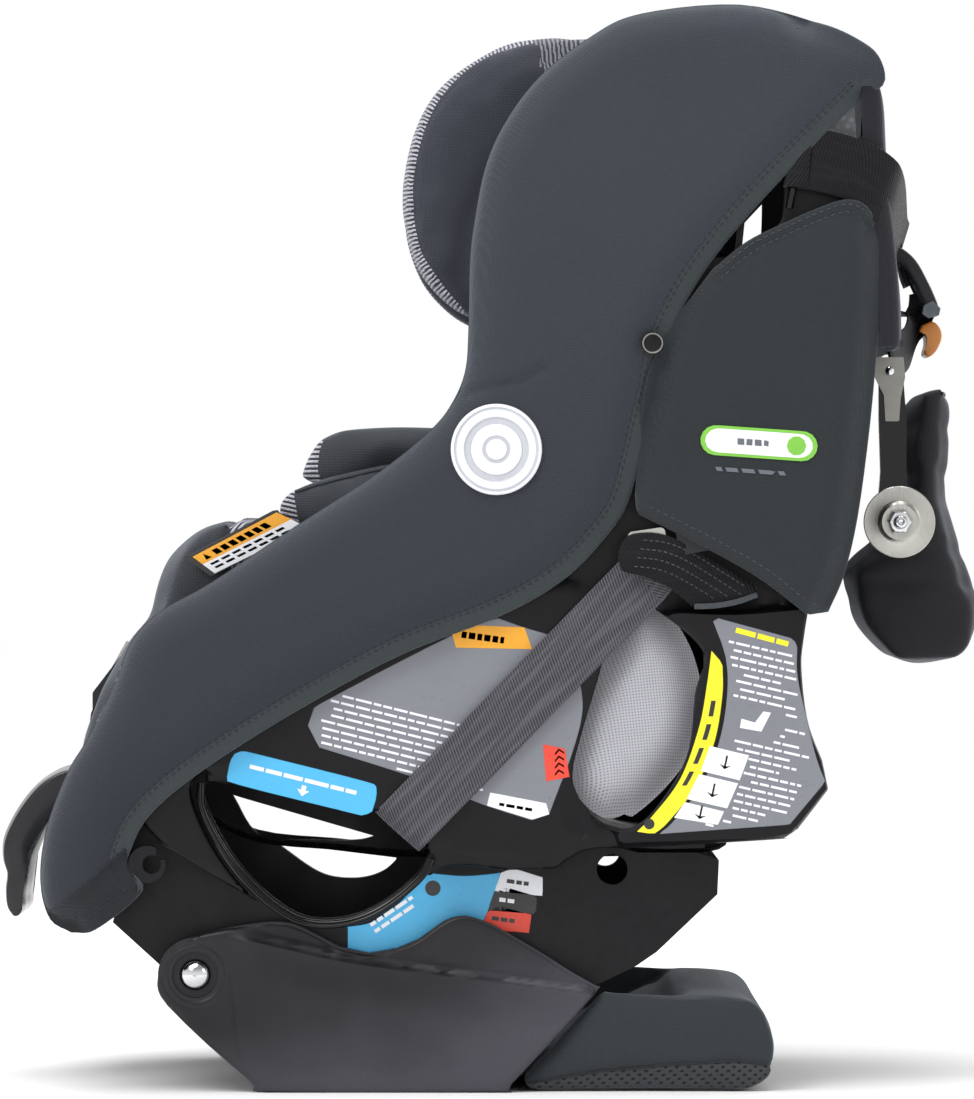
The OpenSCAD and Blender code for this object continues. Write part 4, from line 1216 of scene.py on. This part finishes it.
for name, s in SIDES:
    lines = [hem_in, foot_seam, beside(foot_seam, 2), FOLD, beside(FOLD, 3), beside(FOLD, -3), arr(lining)]
    lines += [beside(arr(lining), 3)]
    # Faces below the foot seam take the darker copy of the wing fabric, which is painted shade; faces along the lower
    # edge take the binding.
    rule = lambda P: np.where(inside(P, np.vstack([foot_seam, [(-300, 60), (-200, 60)]])), 1,
                              np.where(distance(P, cover_low) < HEM, 2, 0))
    o = plate(f"side_cover_{name}_fabric", cover_outline, cover_face, cover_back, s, [WING, WING_SHADED, BINDING],
              lines=lines, grid=6, rows=(0.2, 0.8, 1.8, 3.4, 5.8, 9, 13, 18, 24), index=rule, sharp=60)
    put(o, "shell", f"side_cover_{name}")
    parts = []
    for off in (9.6, 12.2):
        hem = inset(cover_low, off, cover_outline)
        parts += seam(hem, s, cover_face, 0.12, outline=cover_outline, margin=off * 0.8)
    parts += seam(foot_seam, s, cover_face, 0.5)
    rim = beside(front_top[nearest(front_top, (-10, 520)):], -8)
    parts += seam(rim, s, cover_face, 0.1, 0.3, cover_outline, 6)
    put_parts(f"cover_stitching_{name}", parts, THREAD, "shell", "cover_fabric")
    # round badge of plain rings
    y0 = COVER_OUT - 1.2
    profile = [(29, 0), (29.2, 1.6), (28.4, 2.6), (27.2, 2.7), (26.8, 2.1), (25.6, 2.1), (25.2, 2.8), (21, 3.2),
               (20.4, 3.0), (20.0, 2.2), (16.6, 2.2), (16.2, 3.1), (9, 3.7), (8.6, 3.1), (7.0, 3.1), (6.6, 3.9),
               (0.6, 4.2)]
    v, f = lathe((6.0, 413.0), [(r, y0 + h) for r, h in profile], s, ROUND)
    silver = (3, 4, 7, 8, 9, 10, 12, 13, 14)
    kinds = [1 if k // ROUND in silver else 0 for k in range(len(f) - 2)] + [0, 0]
    o = new_object(f"badge_{name}", v, f, [BADGE, SILVER], kinds, sharp=50)
    put(o, "shell", () if s < 0 else "side_badges")
    # snap stud with a bright rim
    y0 = COVER_OUT - 3.4
    profile = [(7.0, 0), (7.1, 1.4), (6.6, 2.3), (5.9, 2.4), (5.5, 1.9), (4.6, 2.1), (2.4, 2.5), (0.4, 2.6)]
    v, f = lathe(STUD, [(r, y0 + h) for r, h in profile], s, ROUND)
    kinds = [1 if k // ROUND in (2, 3) else 0 for k in range(len(f))]
    put(new_object(f"snap_stud_{name}", v, f, [SHELL, STEEL_DARK], kinds), "shell",
        () if s < 0 else "snap_studs")

# ---- storage flaps ----

flap_rear = smooth_path([(219, 309), (229, 332), (238, 370), (246, 430), (252, 500), (254, 540), (251, 556)])
flap_top = smooth_path([(144, 528), (166, 546), (188, 557), (208, 566), (229, 573), (243, 569), (251, 556)])
flap_outline = soften(np.vstack([
    flap_top[:-1], flap_rear[::-1][::6], [(205, 307), (175, 330), (140, 350), (96, 372)],
    [(95, 384), (96, 398), (98, 420), (100, 446), (106, 470), (120, 496), (132, 512)]]), 45)
flap_low = smooth_path([(96, 372), (140, 350), (175, 330), (205, 307), (219, 309)])


def flap_face(P):
    y = COVER_OUT - 1.2 - 15 * (1 - step(0, 26, distance(P, flap_rear))) ** 1.7
    y -= 2.2 * step(60, 0, distance(P, cover_low)) + 6.5 * step(9, 2, distance(P, cover_low))
    y -= 1.5 * hill(distance(P, smooth_path([(130, 400), (180, 410), (240, 402)])), 22)
    y -= 0.9 * np.exp(-(distance(P, beside(flap_top, -7)) / 1.3) ** 2)
    y += 0.8 * step(9, 6, distance(P, flap_low))
    return y - roll_off(np.maximum(depth(P, flap_outline), 0), 1.5)


for name, s in SIDES:
    o = plate(f"storage_flap_{name}_fabric", flap_outline, flap_face, lambda P: flap_face(P) - 2.2, s, FLAP,
              lines=[beside(flap_top, -7), beside(flap_top, 7)], grid=6, rows=(0.3, 1.0, 2.4, 6), sharp=60)
    sewn_edge = ("shell", f"flap_{name}", (96, s * 205, 440), (122, s * 205, 430))
    put(o, sewn_edge, f"storage_flap_{name}")
    x, z = flap_outline.T
    area = abs(np.sum(x * np.roll(z, -1) - z * np.roll(x, -1))) / 2e6
    parts = []
    for line, off in ((flap_top, 3.0), (flap_top, 7.6), (flap_low, 7.5)):
        hem = inset(line, -off, flap_outline)
        parts += seam(hem, s, flap_face, 0.15, 0.34, flap_outline, off * 0.7)
    put_parts(f"flap_stitching_{name}", parts, THREAD_LIGHT, f"flap_{name}", "flap_fabric")
    # pill-shaped label
    half, r, tilt = 28.0, 9.6, -4
    q = [(half + r * math.cos(t), r * math.sin(t)) for t in np.linspace(-math.pi / 2, math.pi / 2, 14)]
    q += [(-x, -z) for x, z in q]
    at = (174, 417)
    dot = arr(turned([(24, 0)], at, tilt)[0]) + 6.2 * ring

    def layer(outline, top, low, kind, grid=6, rows=()):
        v, f, _ = plate_mesh(outline, lambda P: flap_face(P) + top, lambda P: flap_face(P) + low, s,
                             grid=grid, rows=rows)
        return v, f, kind

    parts = [layer(turned(q, at, tilt), 0.9, 0.1, 0, 5, (0.4,)),
             layer(turned(arr(q) * (0.92, 0.8), at, tilt), 1.1, 0.8, 1, 5, (0.4,)), layer(dot, 1.4, 1.0, 0, 4)]
    parts += [layer(b, 1.3, 1.05, 2)
              for b in words(turned([(-14, 2.2)], at, tilt)[0], 24, 1, 4, tilt, height=4, long=(3, 5))]
    parts += [layer(b, 0.5, 0.1, 2) for b in words((146, 402), 62, 1, 4, tilt, height=2.6, long=(5, 12))]
    v, f, kinds = join_parts(parts)
    o = new_object(f"flap_label_{name}", v, f, [GREEN_FILM, WHITE_FILM, BADGE_DARK], kinds, sharp=30)
    put(o, f"flap_{name}")

# ---- mesh linings of the forward belt path ----

lining_loop = soften(cad_loops("path_lining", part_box("path_lining")[1].y * 1000)[0], 60)
middle = lining_loop.mean(0)
grow = np.where(lining_loop[:, :1] > middle[0], arr([[20.0, 13.0]]), arr([[8.0, 8.0]]))
outward = lining_loop - middle
lining_loop = lining_loop + grow * outward / np.linalg.norm(outward, axis=1, keepdims=True)
for name, s in SIDES:
    y1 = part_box("path_lining")[1].y * 1000
    o = plate(f"path_lining_{name}", lining_loop,
              lambda P: y1 + 1 - 12 * (1 - step(0, 34, np.maximum(depth(P, lining_loop), 0))) ** 2,
              LINING_IN - 3.5, s, MESH, grid=5, rows=(0.6, 2, 4, 8), sharp=70)
    put(o, "shell", () if s < 0 else "path_lining")

# ---- soft goods of the seat ----

def attribute(obj, name, values):
    a = obj.data.attributes.new(name, "FLOAT", "POINT")
    a.data.foreach_set("value", arr(values).astype(np.float32))


def along(P, path):
    """Arc length at the nearest point of a path."""
    q = resample(path, 1.0)
    best, run = np.full(len(P), 1e9), np.zeros(len(P))
    for i, c in enumerate(q):
        d = np.hypot(*(P - c).T)
        run = np.where(d < best, i * 1.0, run)
        best = np.minimum(best, d)
    return run, best


def prism(outline, y0, y1):
    """A plain closed solid, as a source for puff."""
    q = arr(outline)
    n = len(q)
    v = np.vstack([place3(q, y0), place3(q, y1)]) * MM
    f = [tuple(range(n)), tuple(range(n, 2 * n))[::-1]] + [(i, (i + 1) % n, (i + 1) % n + n, i + n) for i in range(n)]
    me = bpy.data.meshes.new("prism")
    me.from_pydata([tuple(p) for p in v], [], f)
    return me


lean = math.radians(HEADREST_LEAN)
head_low, head_up = (153.6, 487.0), (math.sin(lean), math.cos(lean))
head_out = (-head_up[1], head_up[0])


def head(u, v):
    return (head_low[0] + u * head_up[0] + v * head_out[0], head_low[1] + u * head_up[1] + v * head_out[1])


HEAD_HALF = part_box("headrest_pad")[1].y * 1000
headrest = puff("headrest_cover", [CAD["headrest_pad"]], HEAD, voxel=5, soften_by=10, shrink=1.0, cap=5.5)
co = coords(headrest) * 1000
wing_edge = smooth_path([(60, 690), (28, 686), (0, 678), (-24, 662), (-44, 636), (-54, 606), (-57, 578), (-53, 545),
                         (-42, 524), (-16, 492), (0, 480)])
run, dist = along(co[:, [0, 2]], wing_edge)
attribute(headrest, "run", run)
attribute(headrest, "zone", np.where(np.abs(co[:, 1]) > 92, 8.5 - dist, -9) * np.where(run > 30, 1, 0.0) - 0.01)
for s in (-1, 1):
    groove(headrest, place3(beside(wing_edge, 9), s * (HEAD_HALF - 1)), 2.2, 1.4)
    wing_fold = smooth_path([(58, 640), (20, 610), (-6, 570), (-14, 530), (-8, 500)])
    groove(headrest, place3(wing_fold, s * HEAD_HALF), 9, 3.2)
for x, z in (head(60, 44), head(130, 44)):
    groove(headrest, [(x, y, z) for y in range(-80, 81, 4)], 3, 2)
put(headrest, "headrest", "headrest_pad")

seat = puff("seat_cushion_cover", [CAD["seat_cushion"]], SEAT, voxel=6, soften_by=7, shrink=1.5, cap=7)
co = coords(seat) * 1000
attribute(seat, "run", co[:, 0] * 0.9 + np.abs(co[:, 1]) * 0.25 - co[:, 2] * 0.4)
x, y, z = co.T
attribute(seat, "zone", np.minimum.reduce([x + 166, -139 - x, z - 330, np.abs(y) - 56, 152 - np.abs(y)]))
for s in (-1, 1):
    groove(seat, [(x, s * 56, z) for x, z in smooth_path([(-214, 300), (-207, 330), (-191, 362), (-168, 376),
                                                           (-140, 368), (-110, 348), (-60, 318)])], 3.5, 3.0)
groove(seat, [(-166, y, 380) for y in range(-150, 151, 3)], 3.2, 3.4, plane=(0,))
put(seat, "shell", "seat_cushion")

back = puff("back_cushion_cover", [CAD["back_cushion"]], SEAT, voxel=6, soften_by=7, shrink=1.5, cap=6)
co = coords(back) * 1000
attribute(back, "run", co[:, 2])
attribute(back, "zone", 26 - np.abs(co[:, 1]))
for s in (-1, 1):
    groove(back, [(100, s * 28, z) for z in range(250, 470, 4)], 3.5, 2.6, plane=(1,))
put(back, "shell", "back_cushion")

lower = [(-137, 368), (-138, 378), (-130, 388), (-108, 395), (-70, 404), (-30, 410), (0, 400), (-10, 350), (-60, 336),
         (-104, 352)]
upper = [(-126, 398), (-121, 412), (-112, 425), (-96, 431), (-60, 433), (-20, 432), (30, 438), (64, 444), (74, 430),
         (56, 372), (20, 330), (-20, 360), (-60, 396), (-104, 388)]
for name, s in SIDES:
    ys = sorted((s * 92, s * 133))
    ins = puff(f"infant_insert_{name}", [prism(upper, *ys)], SEAT, voxel=5, soften_by=6, shrink=2.0, cap=6)
    co = coords(ins) * 1000
    attribute(ins, "run", co[:, 2] * 1.05)
    edge = np.interp(co[:, 2], [392, 400, 412, 424, 432], [-106, -109, -108, -104, -100])
    attribute(ins, "zone", np.minimum(edge - co[:, 0] - 1, co[:, 2] - 380))
    groove(ins, place3(smooth_path([(-106, 388), (-109, 402), (-108, 414), (-103, 430)]), s * 136), 2.5, 1.8)
    put(ins, "shell", () if s < 0 else "infant_insert")
    ys = sorted((s * 104, s * 147))
    bol = puff(f"side_bolster_{name}", [prism(lower, *ys)], SEAT, voxel=5, soften_by=6, shrink=2.0, cap=5)
    co = coords(bol) * 1000
    attribute(bol, "run", co[:, 2] * 1.1 + co[:, 0] * 0.25)
    edge = np.interp(co[:, 2], [350, 372, 384, 394], [-116, -122, -124, -122])
    attribute(bol, "zone", edge - co[:, 0] - 1)
    groove(bol, place3(smooth_path([(-118, 360), (-123, 378), (-121, 394)]), s * 150), 2.5, 1.8)
    tree = surface_tree(bol)
    put(bol, "shell")
    q = place3(smooth_path([(-124, 386), (-104, 392), (-66, 401), (-34, 406)]), s * 200)
    pipe = cast(tree, q, (0, -s, 0), 0.6)
    q = smooth_path([(-128, 352), (-100, 370), (-60, 394), (-26, 420), (-10, 446)])
    parts = [(*tube_part(pipe, 1.3, 6), 0), (*tube_part(place3(q, s * 151.5), 2.6, 8), 0)]
    put_parts(f"bolster_piping_{name}", parts, PIPING, "shell", "seat_fabric")

# sewn tag on the child's left side
tag = arr([(-195, 344), (-136, 375.5), (-124.5, 361), (-178, 331)])
u, w = tag[1] - tag[0], tag[3] - tag[0]
part = lambda a0, a1, b0, b1: [tag[0] + u * a + w * b + (arr((8, 1)) * a * b) for a, b in
                               ((a0, b0), (a1, b0), (a1, b1), (a0, b1))]
prints = [(part(.05, .96, .10, .48), ORANGE_FILM), (part(.05, .96, .48, .92), WHITE_FILM)]
prints += [(part(.22 + .085 * k, .28 + .085 * k, .2, .4), BLACK_FILM) for k in range(7)]
prints += [(part(.10 + .11 * k, .18 + .11 * k, b, b + .08), GREY_FILM) for k in range(7) for b in (.56, .72)]
prints += [([part(.11, .12, .4, .41)[0], part(.17, .18, .4, .41)[0], part(.14, .15, .17, .18)[0]], BLACK_FILM)]
sticker("cushion_tag", -1, tag, 153.5, BLACK_FILM, prints, "shell", corner=0)

# ---- recline handle ----

grip = smooth_path([(-276, 205), (-286, 201.5), (-298, 193), (-310, 178), (-319, 160), (-320, 146), (-317, 136),
                    (-318, 126), (-317, 114), (-312, 107)], 4)
under = smooth_path([(-268, 196), (-276, 190), (-285, 178), (-294, 162), (-301, 146), (-303, 136), (-304, 128),
                     (-305, 120), (-305, 112), (-308, 108)], 4)
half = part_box("recline_handle")[1].y * 1000
rings = []
for y in (-half, -half + 0.8, -half + 3, -half + 8, -half + 20, -20,
          20, half - 20, half - 8, half - 3, half - 0.8, half):
    t = 1 - (abs(y) / half) ** 6
    lift = 2.2 * (1 - (y / half) ** 2)
    pull = 1 - 0.24 * (1 - t)
    mid = (grip + under) / 2
    g, h = mid + (grip - mid) * pull, mid + (under - mid) * pull
    push = beside(grip, -lift) - grip
    rings.append(np.vstack([place3(g + push * 0.5, y), place3(h[::-1], y)]))
v, f = loft(rings)
o = new_object("recline_grip", v, f, HANDLE, sharp=50)
modify(o, "SUBSURF", levels=1, render_levels=1)
put(o, "recline_latch", "recline_handle")

# ---- webbing ----

def webbing(name, path, across, width, thick, mat, body="shell", replaces=(), cup=0.0):
    put(strap(name, path, across, width, thick, mat, cup), body, replaces)


STRAP_ACROSS, LEG_ACROSS = (-0.74, 0, 0.67), (0.27, 0, 0.96)
for name, s in SIDES:
    path = smooth_path([(101, s * 190.3, 331), (60, s * 190.8, 289), (20, s * 190.6, 248), (-20, s * 190.4, 206.5),
                        (-44, s * 189.6, 182), (-53, s * 186.6, 172.5), (-57, s * 180, 168.6), (-57.3, s * 170, 168),
                        (-57.3, s * 90, 167.6), (-57.3, 0, 167.6)], 6)
    webbing(f"anchor_strap_{name}", path, STRAP_ACROSS, 38, 1.7, WEB, "shell", () if s < 0 else "anchor_strap",
            cup=0.35 * s)
    loop = smooth_path([(98, s * 190.6, 328), (106, s * 191.2, 337), (111, s * 192.6, 341), (109, s * 194.3, 342),
                        (101, s * 195.2, 336), (92, s * 195, 340)], 5)
    webbing(f"anchor_fold_{name}", loop[:18], STRAP_ACROSS, 38, 1.6, WEB)
    tail = soften([(88, 356), (96, 359.5), (112, 359), (132, 350), (152, 338), (173, 325), (172.5, 319), (156, 314),
                   (138, 311.5), (131, 313), (116, 325), (102, 331), (86, 335), (84, 346)], 50)
    rise = lambda P: 204.6 - 9.6 * step(112, 148, P[:, 0] - 0.3 * (P[:, 1] - 340))
    face = lambda P: rise(P) + 1.1 * hill(distance(P, [(112, 346), (140, 333), (168, 323)]), 5) \
        - 0.9 * hill(distance(P, [(100, 345), (128, 326), (150, 316)]), 3) \
        - roll_off(np.maximum(depth(P, tail), 0), 1.2)
    o = plate(f"strap_tail_{name}", tail, face, lambda P: face(P) - 2.4, s, WEB_DARK, grid=5, rows=(0.4, 1.2),
              sharp=70)
    layer = o.data.uv_layers.new(name="weave")
    co = coords(o) * 10
    uv = arr([(co[li.vertex_index][2], co[li.vertex_index][0]) for li in o.data.loops])
    layer.data.foreach_set("uv", uv.ravel())
    put(o, "shell")
    roll = smooth_path([(133, s * 196.4, 312.5), (146, s * 195.6, 313), (160, s * 195.6, 315.5),
                        (173, s * 195.2, 320)], 6)
    parts = [(*tube_part(roll, 2.3, 10, flat=0.8), 0)]
    q = smooth_path([(100, 355), (116, 353), (134, 345), (166, 325)])
    for k in range(4):
        q2 = resample(q + (-2.0 * k, -5.6 * k), 4)
        q2 = q2[depth(q2, tail) > 2]
        parts += stitches(place3(q2, s * (face(q2) + 0.2)), (0, s, 0), 2.6, 1.2, 0.4)
    put_parts(f"strap_sewing_{name}", parts, THREAD_LIGHT, "shell", "webbing")

    x0 = 201 if s < 0 else 210
    leg = smooth_path([(x0, s * 192.4, 600), (x0 + 14, s * 194.0, 598), (236, s * 194.4, 592), (249, s * 193.5, 584),
                       (257, s * 187, 577), (262, s * 172, 572), (266, s * 130, 566), (270, s * 70, 558),
                       (273, s * 24, 551), (275, s * 8, 548)], 6)
    webbing(f"tether_leg_{name}", leg, LEG_ACROSS, 40, 1.9, WEB_DARK, "shell", () if s < 0 else "tether_straps")
    turn = smooth_path([(x0 + 6, s * 194.6, 600), (x0 - 1, s * 195.0, 600.5), (x0 - 5, s * 193, 600.5),
                        (x0 - 5, s * 188.6, 600), (x0 - 1, s * 186, 599.5), (x0 + 9, s * 187, 599)], 5)
    webbing(f"tether_loop_{name}", turn, LEG_ACROSS, 39, 1.7, WEB_DARK)

center = smooth_path([(273, 0, 566), (274.6, 0, 548), (277, 0, 532), (280, 0, 524)], 6)
webbing("tether_center", center, (0, 1, 0), 38, 3.2, WEB_DARK)

# rear of the cover: it closes the back above the hook, and its sides turn forward to the flaps
profile = smooth_path([(236, 668), (245, 660), (251.5, 650), (254.6, 636), (255.6, 612), (257.4, 586), (261, 560),
                       (264, 532), (265.4, 508), (265.8, 488), (265.4, 479)], 4)
rings = []
for x, z in profile:
    row = [(x - 13, -190.6, z), (x - 6, -190.2, z), (x - 2, -188, z), (x - 0.6, -184, z)]
    row += [(x + 0.8 * math.sin(z / 19 + y / 31), y, z) for y in np.linspace(-176, 176, 45)]
    row += [(x - 0.6, 184, z), (x - 2, 188, z), (x - 6, 190.2, z), (x - 13, 190.6, z)]
    back = [(px - 2.6 + (1.2 if abs(py) > 186 else 0), py * 0.986, pz) for px, py, pz in row[::-1]]
    rings.append(row + back)
v, f = loft(rings)
o = new_object("rear_cover", v, f, REAR, sharp=50)
put(o, "shell")
hem = [(265.9, y, 481 + 0.6 * math.sin(y / 29)) for y in range(-183, 184, 6)]
v, f = tube_part(hem, 2.2, 8)
put(new_object("rear_cover_hem", v, f, BINDING), "shell")
down = smooth_path([(288, -2, 520), (284, -6, 500), (279, -24, 484), (273, -48, 479), (267, -72, 478),
                    (264, -80, 476)], 6)
webbing("tether_tail", down, (0.1, 0.35, 0.93), 30, 1.8, WEB_DARK)

# harness: each strap runs from the yoke behind the back, through its slot and the pad, to the tongue
HEAD_RISE = ("shell", "headrest", (0, 0, 372), (0, 0, 452))
chest = [(184, 363), (184.6, 368), (180, 386), (176, 402), (171, 430), (167, 446), (161, 459), (153, 464), (140, 467),
         (128, 467.5), (114, 462), (100, 451), (90, 430), (83, 409), (75, 386), (65, 361), (53, 340), (43, 325)]
for name, s in SIDES:
    path = [(x, s * 50, z) for x, z in smooth_path(chest, 4)]
    path += [(30, s * 46, 318), (12, s * 36, 316.4), (-4, s * 28, 316.6)]
    webbing(f"harness_strap_{name}", path, (0, 1, 0), 37, 1.5, WEB, HEAD_RISE, () if s < 0 else "harness_straps")
    line = smooth_path(chest[9:17], 5)
    mid = beside(line, -6.4)
    if mid[10][0] > line[10][0]:
        mid = beside(line, 6.4)
    rings = []
    for k, (p, c) in enumerate(zip(mid, line)):
        t = k / (len(mid) - 1)
        end = math.sqrt(max(0.02, 1 - (2 * t - 1) ** 8))
        n = (p - c) / 6.4
        ring2 = []
        for a in np.linspace(0, 2 * math.pi, 20, False):
            w = 24.5 * end * np.sign(math.cos(a)) * abs(math.cos(a)) ** 0.6
            h = 5.6 * end * np.sign(math.sin(a)) * abs(math.sin(a)) ** 0.7
            ring2.append((p[0] + n[0] * h, s * 50 + w, p[1] + n[1] * h))
        rings.append(ring2)
    v, f = loft(rings)
    src = bpy.data.meshes.new("pad")
    src.from_pydata([tuple(c * MM for c in q) for q in v], [], f)
    o = puff(f"shoulder_pad_{name}", [src], SEAT, voxel=3.6, soften_by=3, shrink=1.0, cap=2.5)
    co = coords(o) * 1000
    attribute(o, "run", co[:, 2])
    attribute(o, "zone", 9 - np.abs(co[:, 1] - s * 50))
    put(o, HEAD_RISE, () if s < 0 else "shoulder_pads")
crotch = smooth_path([(-71.5, 0, 238), (-72, 0, 270), (-73, 0, 292), (-80, 0, 318)])
webbing("crotch_strap_web", crotch, (0, 1, 0), 37, 2.2, WEB, replaces="crotch_strap")
pull = smooth_path([(-250, 0, 245), (-258, 0, 246), (-262.5, 0, 241), (-263.6, 0, 230), (-263.8, 0, 218),
                    (-263, 0, 208)])
webbing("adjuster_tail", pull, (0, 1, 0), 25, 1.6, WEB_DARK, replaces="adjuster_strap")
run = smooth_path([(-230, 0, 250), (-214, 0, 230), (-190, 0, 180), (-154, 0, 158.6), (-100, 0, 152.6), (-56, 0, 148.6),
                   (20, 0, 147.8), (100, 0, 148.8), (150, 0, 152), (158.4, 0, 158.6), (162, 0, 172), (165, 0, 200),
                   (170, 0, 270), (172, 0, 329)], 4)
webbing("adjuster_run", run, (0, 0.985, 0.17), 25, 3.4, WEB_DARK)
mid_plane = lambda path: [(x * 1.04, 349 + (z - 349) * 1.04) for x, z in path]
slivers = [mid_plane([(-163, 192), (-150, 188), (-72, 165.5), (-84, 163), (-112, 163.4), (-146, 166.5)]),
           mid_plane([(-133, 160), (-116, 158.6), (-57, 151.5), (-66, 143.5), (-80, 139), (-98, 139.5), (-112, 145)])]
web_outline = arr(mid_plane(rear_window))
web_outline = web_outline + 7 * (web_outline - web_outline.mean(0)) / np.linalg.norm(
    web_outline - web_outline.mean(0), axis=1, keepdims=True)
ribs = [arr(mid_plane(q)) for q in ([(-176, 186), (-134, 150), (-100, 118)], [(-164, 190), (-100, 130)])]
o = plate("belt_path_web", web_outline, 6, -6, 1, SHELL, holes=[soften(q, 60) for q in slivers], lines=ribs,
          grid=6, rows=(0.5, 1.5), sharp=50)
put(o, "shell")


# ---- rear hardware ----

low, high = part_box("anchor_fitting")
c = ((low + high) / 2 * 1000).xz
y0, y1 = -high.y * 1000, -low.y * 1000
plain = lathe(c, [(4.4, y0), (23.0, y0), (23.5, y0 + 0.5), (23.5, y0 + 2.0), (23.0, y0 + 2.5), (14.5, y0 + 2.5),
                  (13.5, y0 + 2.9), (12.2, y1 - 0.6), (11.6, y1), (7.0, y1), (6.2, y1 - 0.5), (4.4, y1 - 0.5),
                  (4.4, y0)])
put(new_object("anchor_washer", *plain, STEEL, sharp=35), "shell", "anchor_fitting")
low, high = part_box("anchor_bolt")
far, near = -high.y * 1000, -low.y * 1000
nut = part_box("anchor_fitting")[0].y * -1000 + 0.1
hexa = [1 / math.cos((a % (math.pi / 3)) - math.pi / 6) for a in np.linspace(0, 2 * math.pi, 72, False)]
t = np.linspace(0, 2 * math.pi, 72, False)
rings = []
for r, y, h in ((4.0, nut, 0), (6.2, nut, 1), (6.5, nut + 0.5, 1), (6.5, nut + 5.6, 1), (6.3, nut + 6.3, 0.4),
                (5.6, nut + 6.5, 0), (4.6, nut + 6.5, 0), (4.3, nut + 5.8, 0)):
    rings.append([(c[0] + r * (1 + h * (k - 1)) * math.cos(a), -y, c[1] + r * (1 + h * (k - 1)) * math.sin(a))
                  for a, k in zip(t, hexa)])
parts = [(*loft(rings), 0)]
screw = [(3.2, far), (3.9, far + 0.8)]
screw += [(3.9 - 0.45 * (k % 2), far + 1.2 + 0.6 * k) for k in range(int((near - far - 2.4) / 0.6))]
screw += [(3.9, near - 1.0), (3.3, near - 0.2), (2.4, near), (1.6, near - 1.6), (0.3, near - 2.0)]
parts.append((*lathe(c, screw, m=32), 0))
put_parts("anchor_bolt_nut", parts, CHROME, "shell", "steel", "anchor_bolt", sharp=25)
rivet = lathe((264, 466), [(0.3, 90.8), (1.6, 90.7), (2.7, 90.0), (3.1, 89.0), (3.2, 88.0)], m=32)
put(new_object("hook_rivet", *rivet, CHROME, sharp=50), "hook_lever")
rings = []
frame_line = smooth_path([(268, 552), (276, 549), (285, 541), (293, 527), (299, 513), (300.5, 506)], 4)
inner = smooth_path([(267, 541), (274, 538), (280, 531), (286, 519), (291, 508), (293, 502)], 4)
for y, k in ((-23, 0.4), (-22.4, 0.12), (-20.5, 0), (-15.5, 0), (-15, 0.12), (-14.6, 0.3)):
    m = (frame_line + inner) / 2
    rings.append(np.vstack([place3(frame_line + (m - frame_line) * k, y),
                            place3((inner + (m - inner) * k)[::-1], y)]))
v1, f1 = loft(rings)
v2, f2 = v1 * (1, -1, 1), [t[::-1] for t in f1]
mid = [(283, 533), (287, 536), (290, 531), (286, 528)]
v3, f3 = loft([place3(mid, y) for y in (-16, -15, 15, 16)])
v4, f4 = loft([place3([(290, 511), (296, 514), (301, 509), (300, 504.5), (293, 502.5), (289, 505.5)], y)
               for y in (-24, -23, 23, 24)])

v, f, kinds = join_parts([(v1, f1, 0), (v2, f2, 0), (v3, f3, 0), (v4, f4, 1)])
o = new_object("tether_adjuster_frame", v, f, [HARDWARE, GREY_PART], kinds, sharp=35)
put(o, "shell", "tether_adjuster")
cam = smooth_path([(289, 498), (296, 500.5), (301, 496), (302, 489), (298.5, 481), (294, 477), (290.5, 479), (292, 486),
                   (291, 492), (287.5, 494), (289, 498)], 3)[:-1]
mid = cam.mean(0)
o = new_object("tether_release_tab", *loft([place3(mid + (cam - mid) * k, y) for y, k in (
    (-20, 0.86), (-19.4, 0.97), (-18, 1), (-6, 1), (-3, 0.94), (3, 0.94), (6, 1), (18, 1), (19.4, 0.97), (20, 0.86))]),
    ORANGE_PART, sharp=50)
put(o, "tether_release", "adjuster_cam")

# ---- bag of the spare anchor kit ----

bag = puff("tether_bag_cover", [CAD["tether_bag"]], BAG, voxel=5, soften_by=9, shrink=2.5, cap=5, pressure=5)
for z, tilt in ((430, 0.02), (396, -0.06), (352, 0.08), (322, -0.05)):
    crease = [(x, y, z + tilt * y + 3 * math.sin(y / 17)) for y in range(-80, 96, 4) for x in (246, 286, 322)]
    groove(bag, crease, 5, 1.3)
put(bag, "shell", "tether_bag")
tree = surface_tree(bag)
hem = cast(tree, [(400, y, 452 + 1.5 * math.sin(y / 23)) for y in range(-70, 87, 4)], (-1, 0, 0), 0.3)
v, f = tube_part(hem, 1.6, 6)
put(new_object("bag_hem", v, f, BAG), "shell")

# ---- carried-over CAD parts: real edges and materials ----

for nodes, m, width in (
        (("base_frame",), BASE, 1.0), (("pivot_caps",), CHROME, 0),
        (("pivot_rod", "recline_racks", "latch_bar", "latch_springs", "pull_link", "harness_yoke",
          "harness_tongues"), STEEL, 0.4),
        (("tether_bars",), SHELL_GLOSS, 0), (("connector_jaws", "adjuster_lever"), STEEL, 0.5),
        (("hook_latch",), STEEL_DARK, 0.6), (("tether_hook",), SHELL_GLOSS, 2.0),
        (("connector_left", "connector_right", "adjuster_housing"), HARDWARE, 0.8),
        (("release_button_left", "release_button_right", "buckle_button"), RED_PART, 0.7),
        (("buckle_housing", "cover_hooks", "headrest_shell", "harness_carriage", "height_lever_left",
          "height_lever_right"), SHELL, 1.0),
        (("seat_pan", "back_panel", "rear_panel", "under_shell"), SHELL, 0.8),
        (("stabiliser_core",), BASE, 0.8), (("side_foam",), FOAM, 1.2)):
    for n in nodes:
        me = CAD[n].data
        me.materials.clear()
        me.materials.append(m)
        me.polygons.foreach_set("use_smooth", [True] * len(me.polygons))
        me.set_sharp_from_angle(angle=math.radians(30))
        if width:
            bevel(n, width)

low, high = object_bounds()
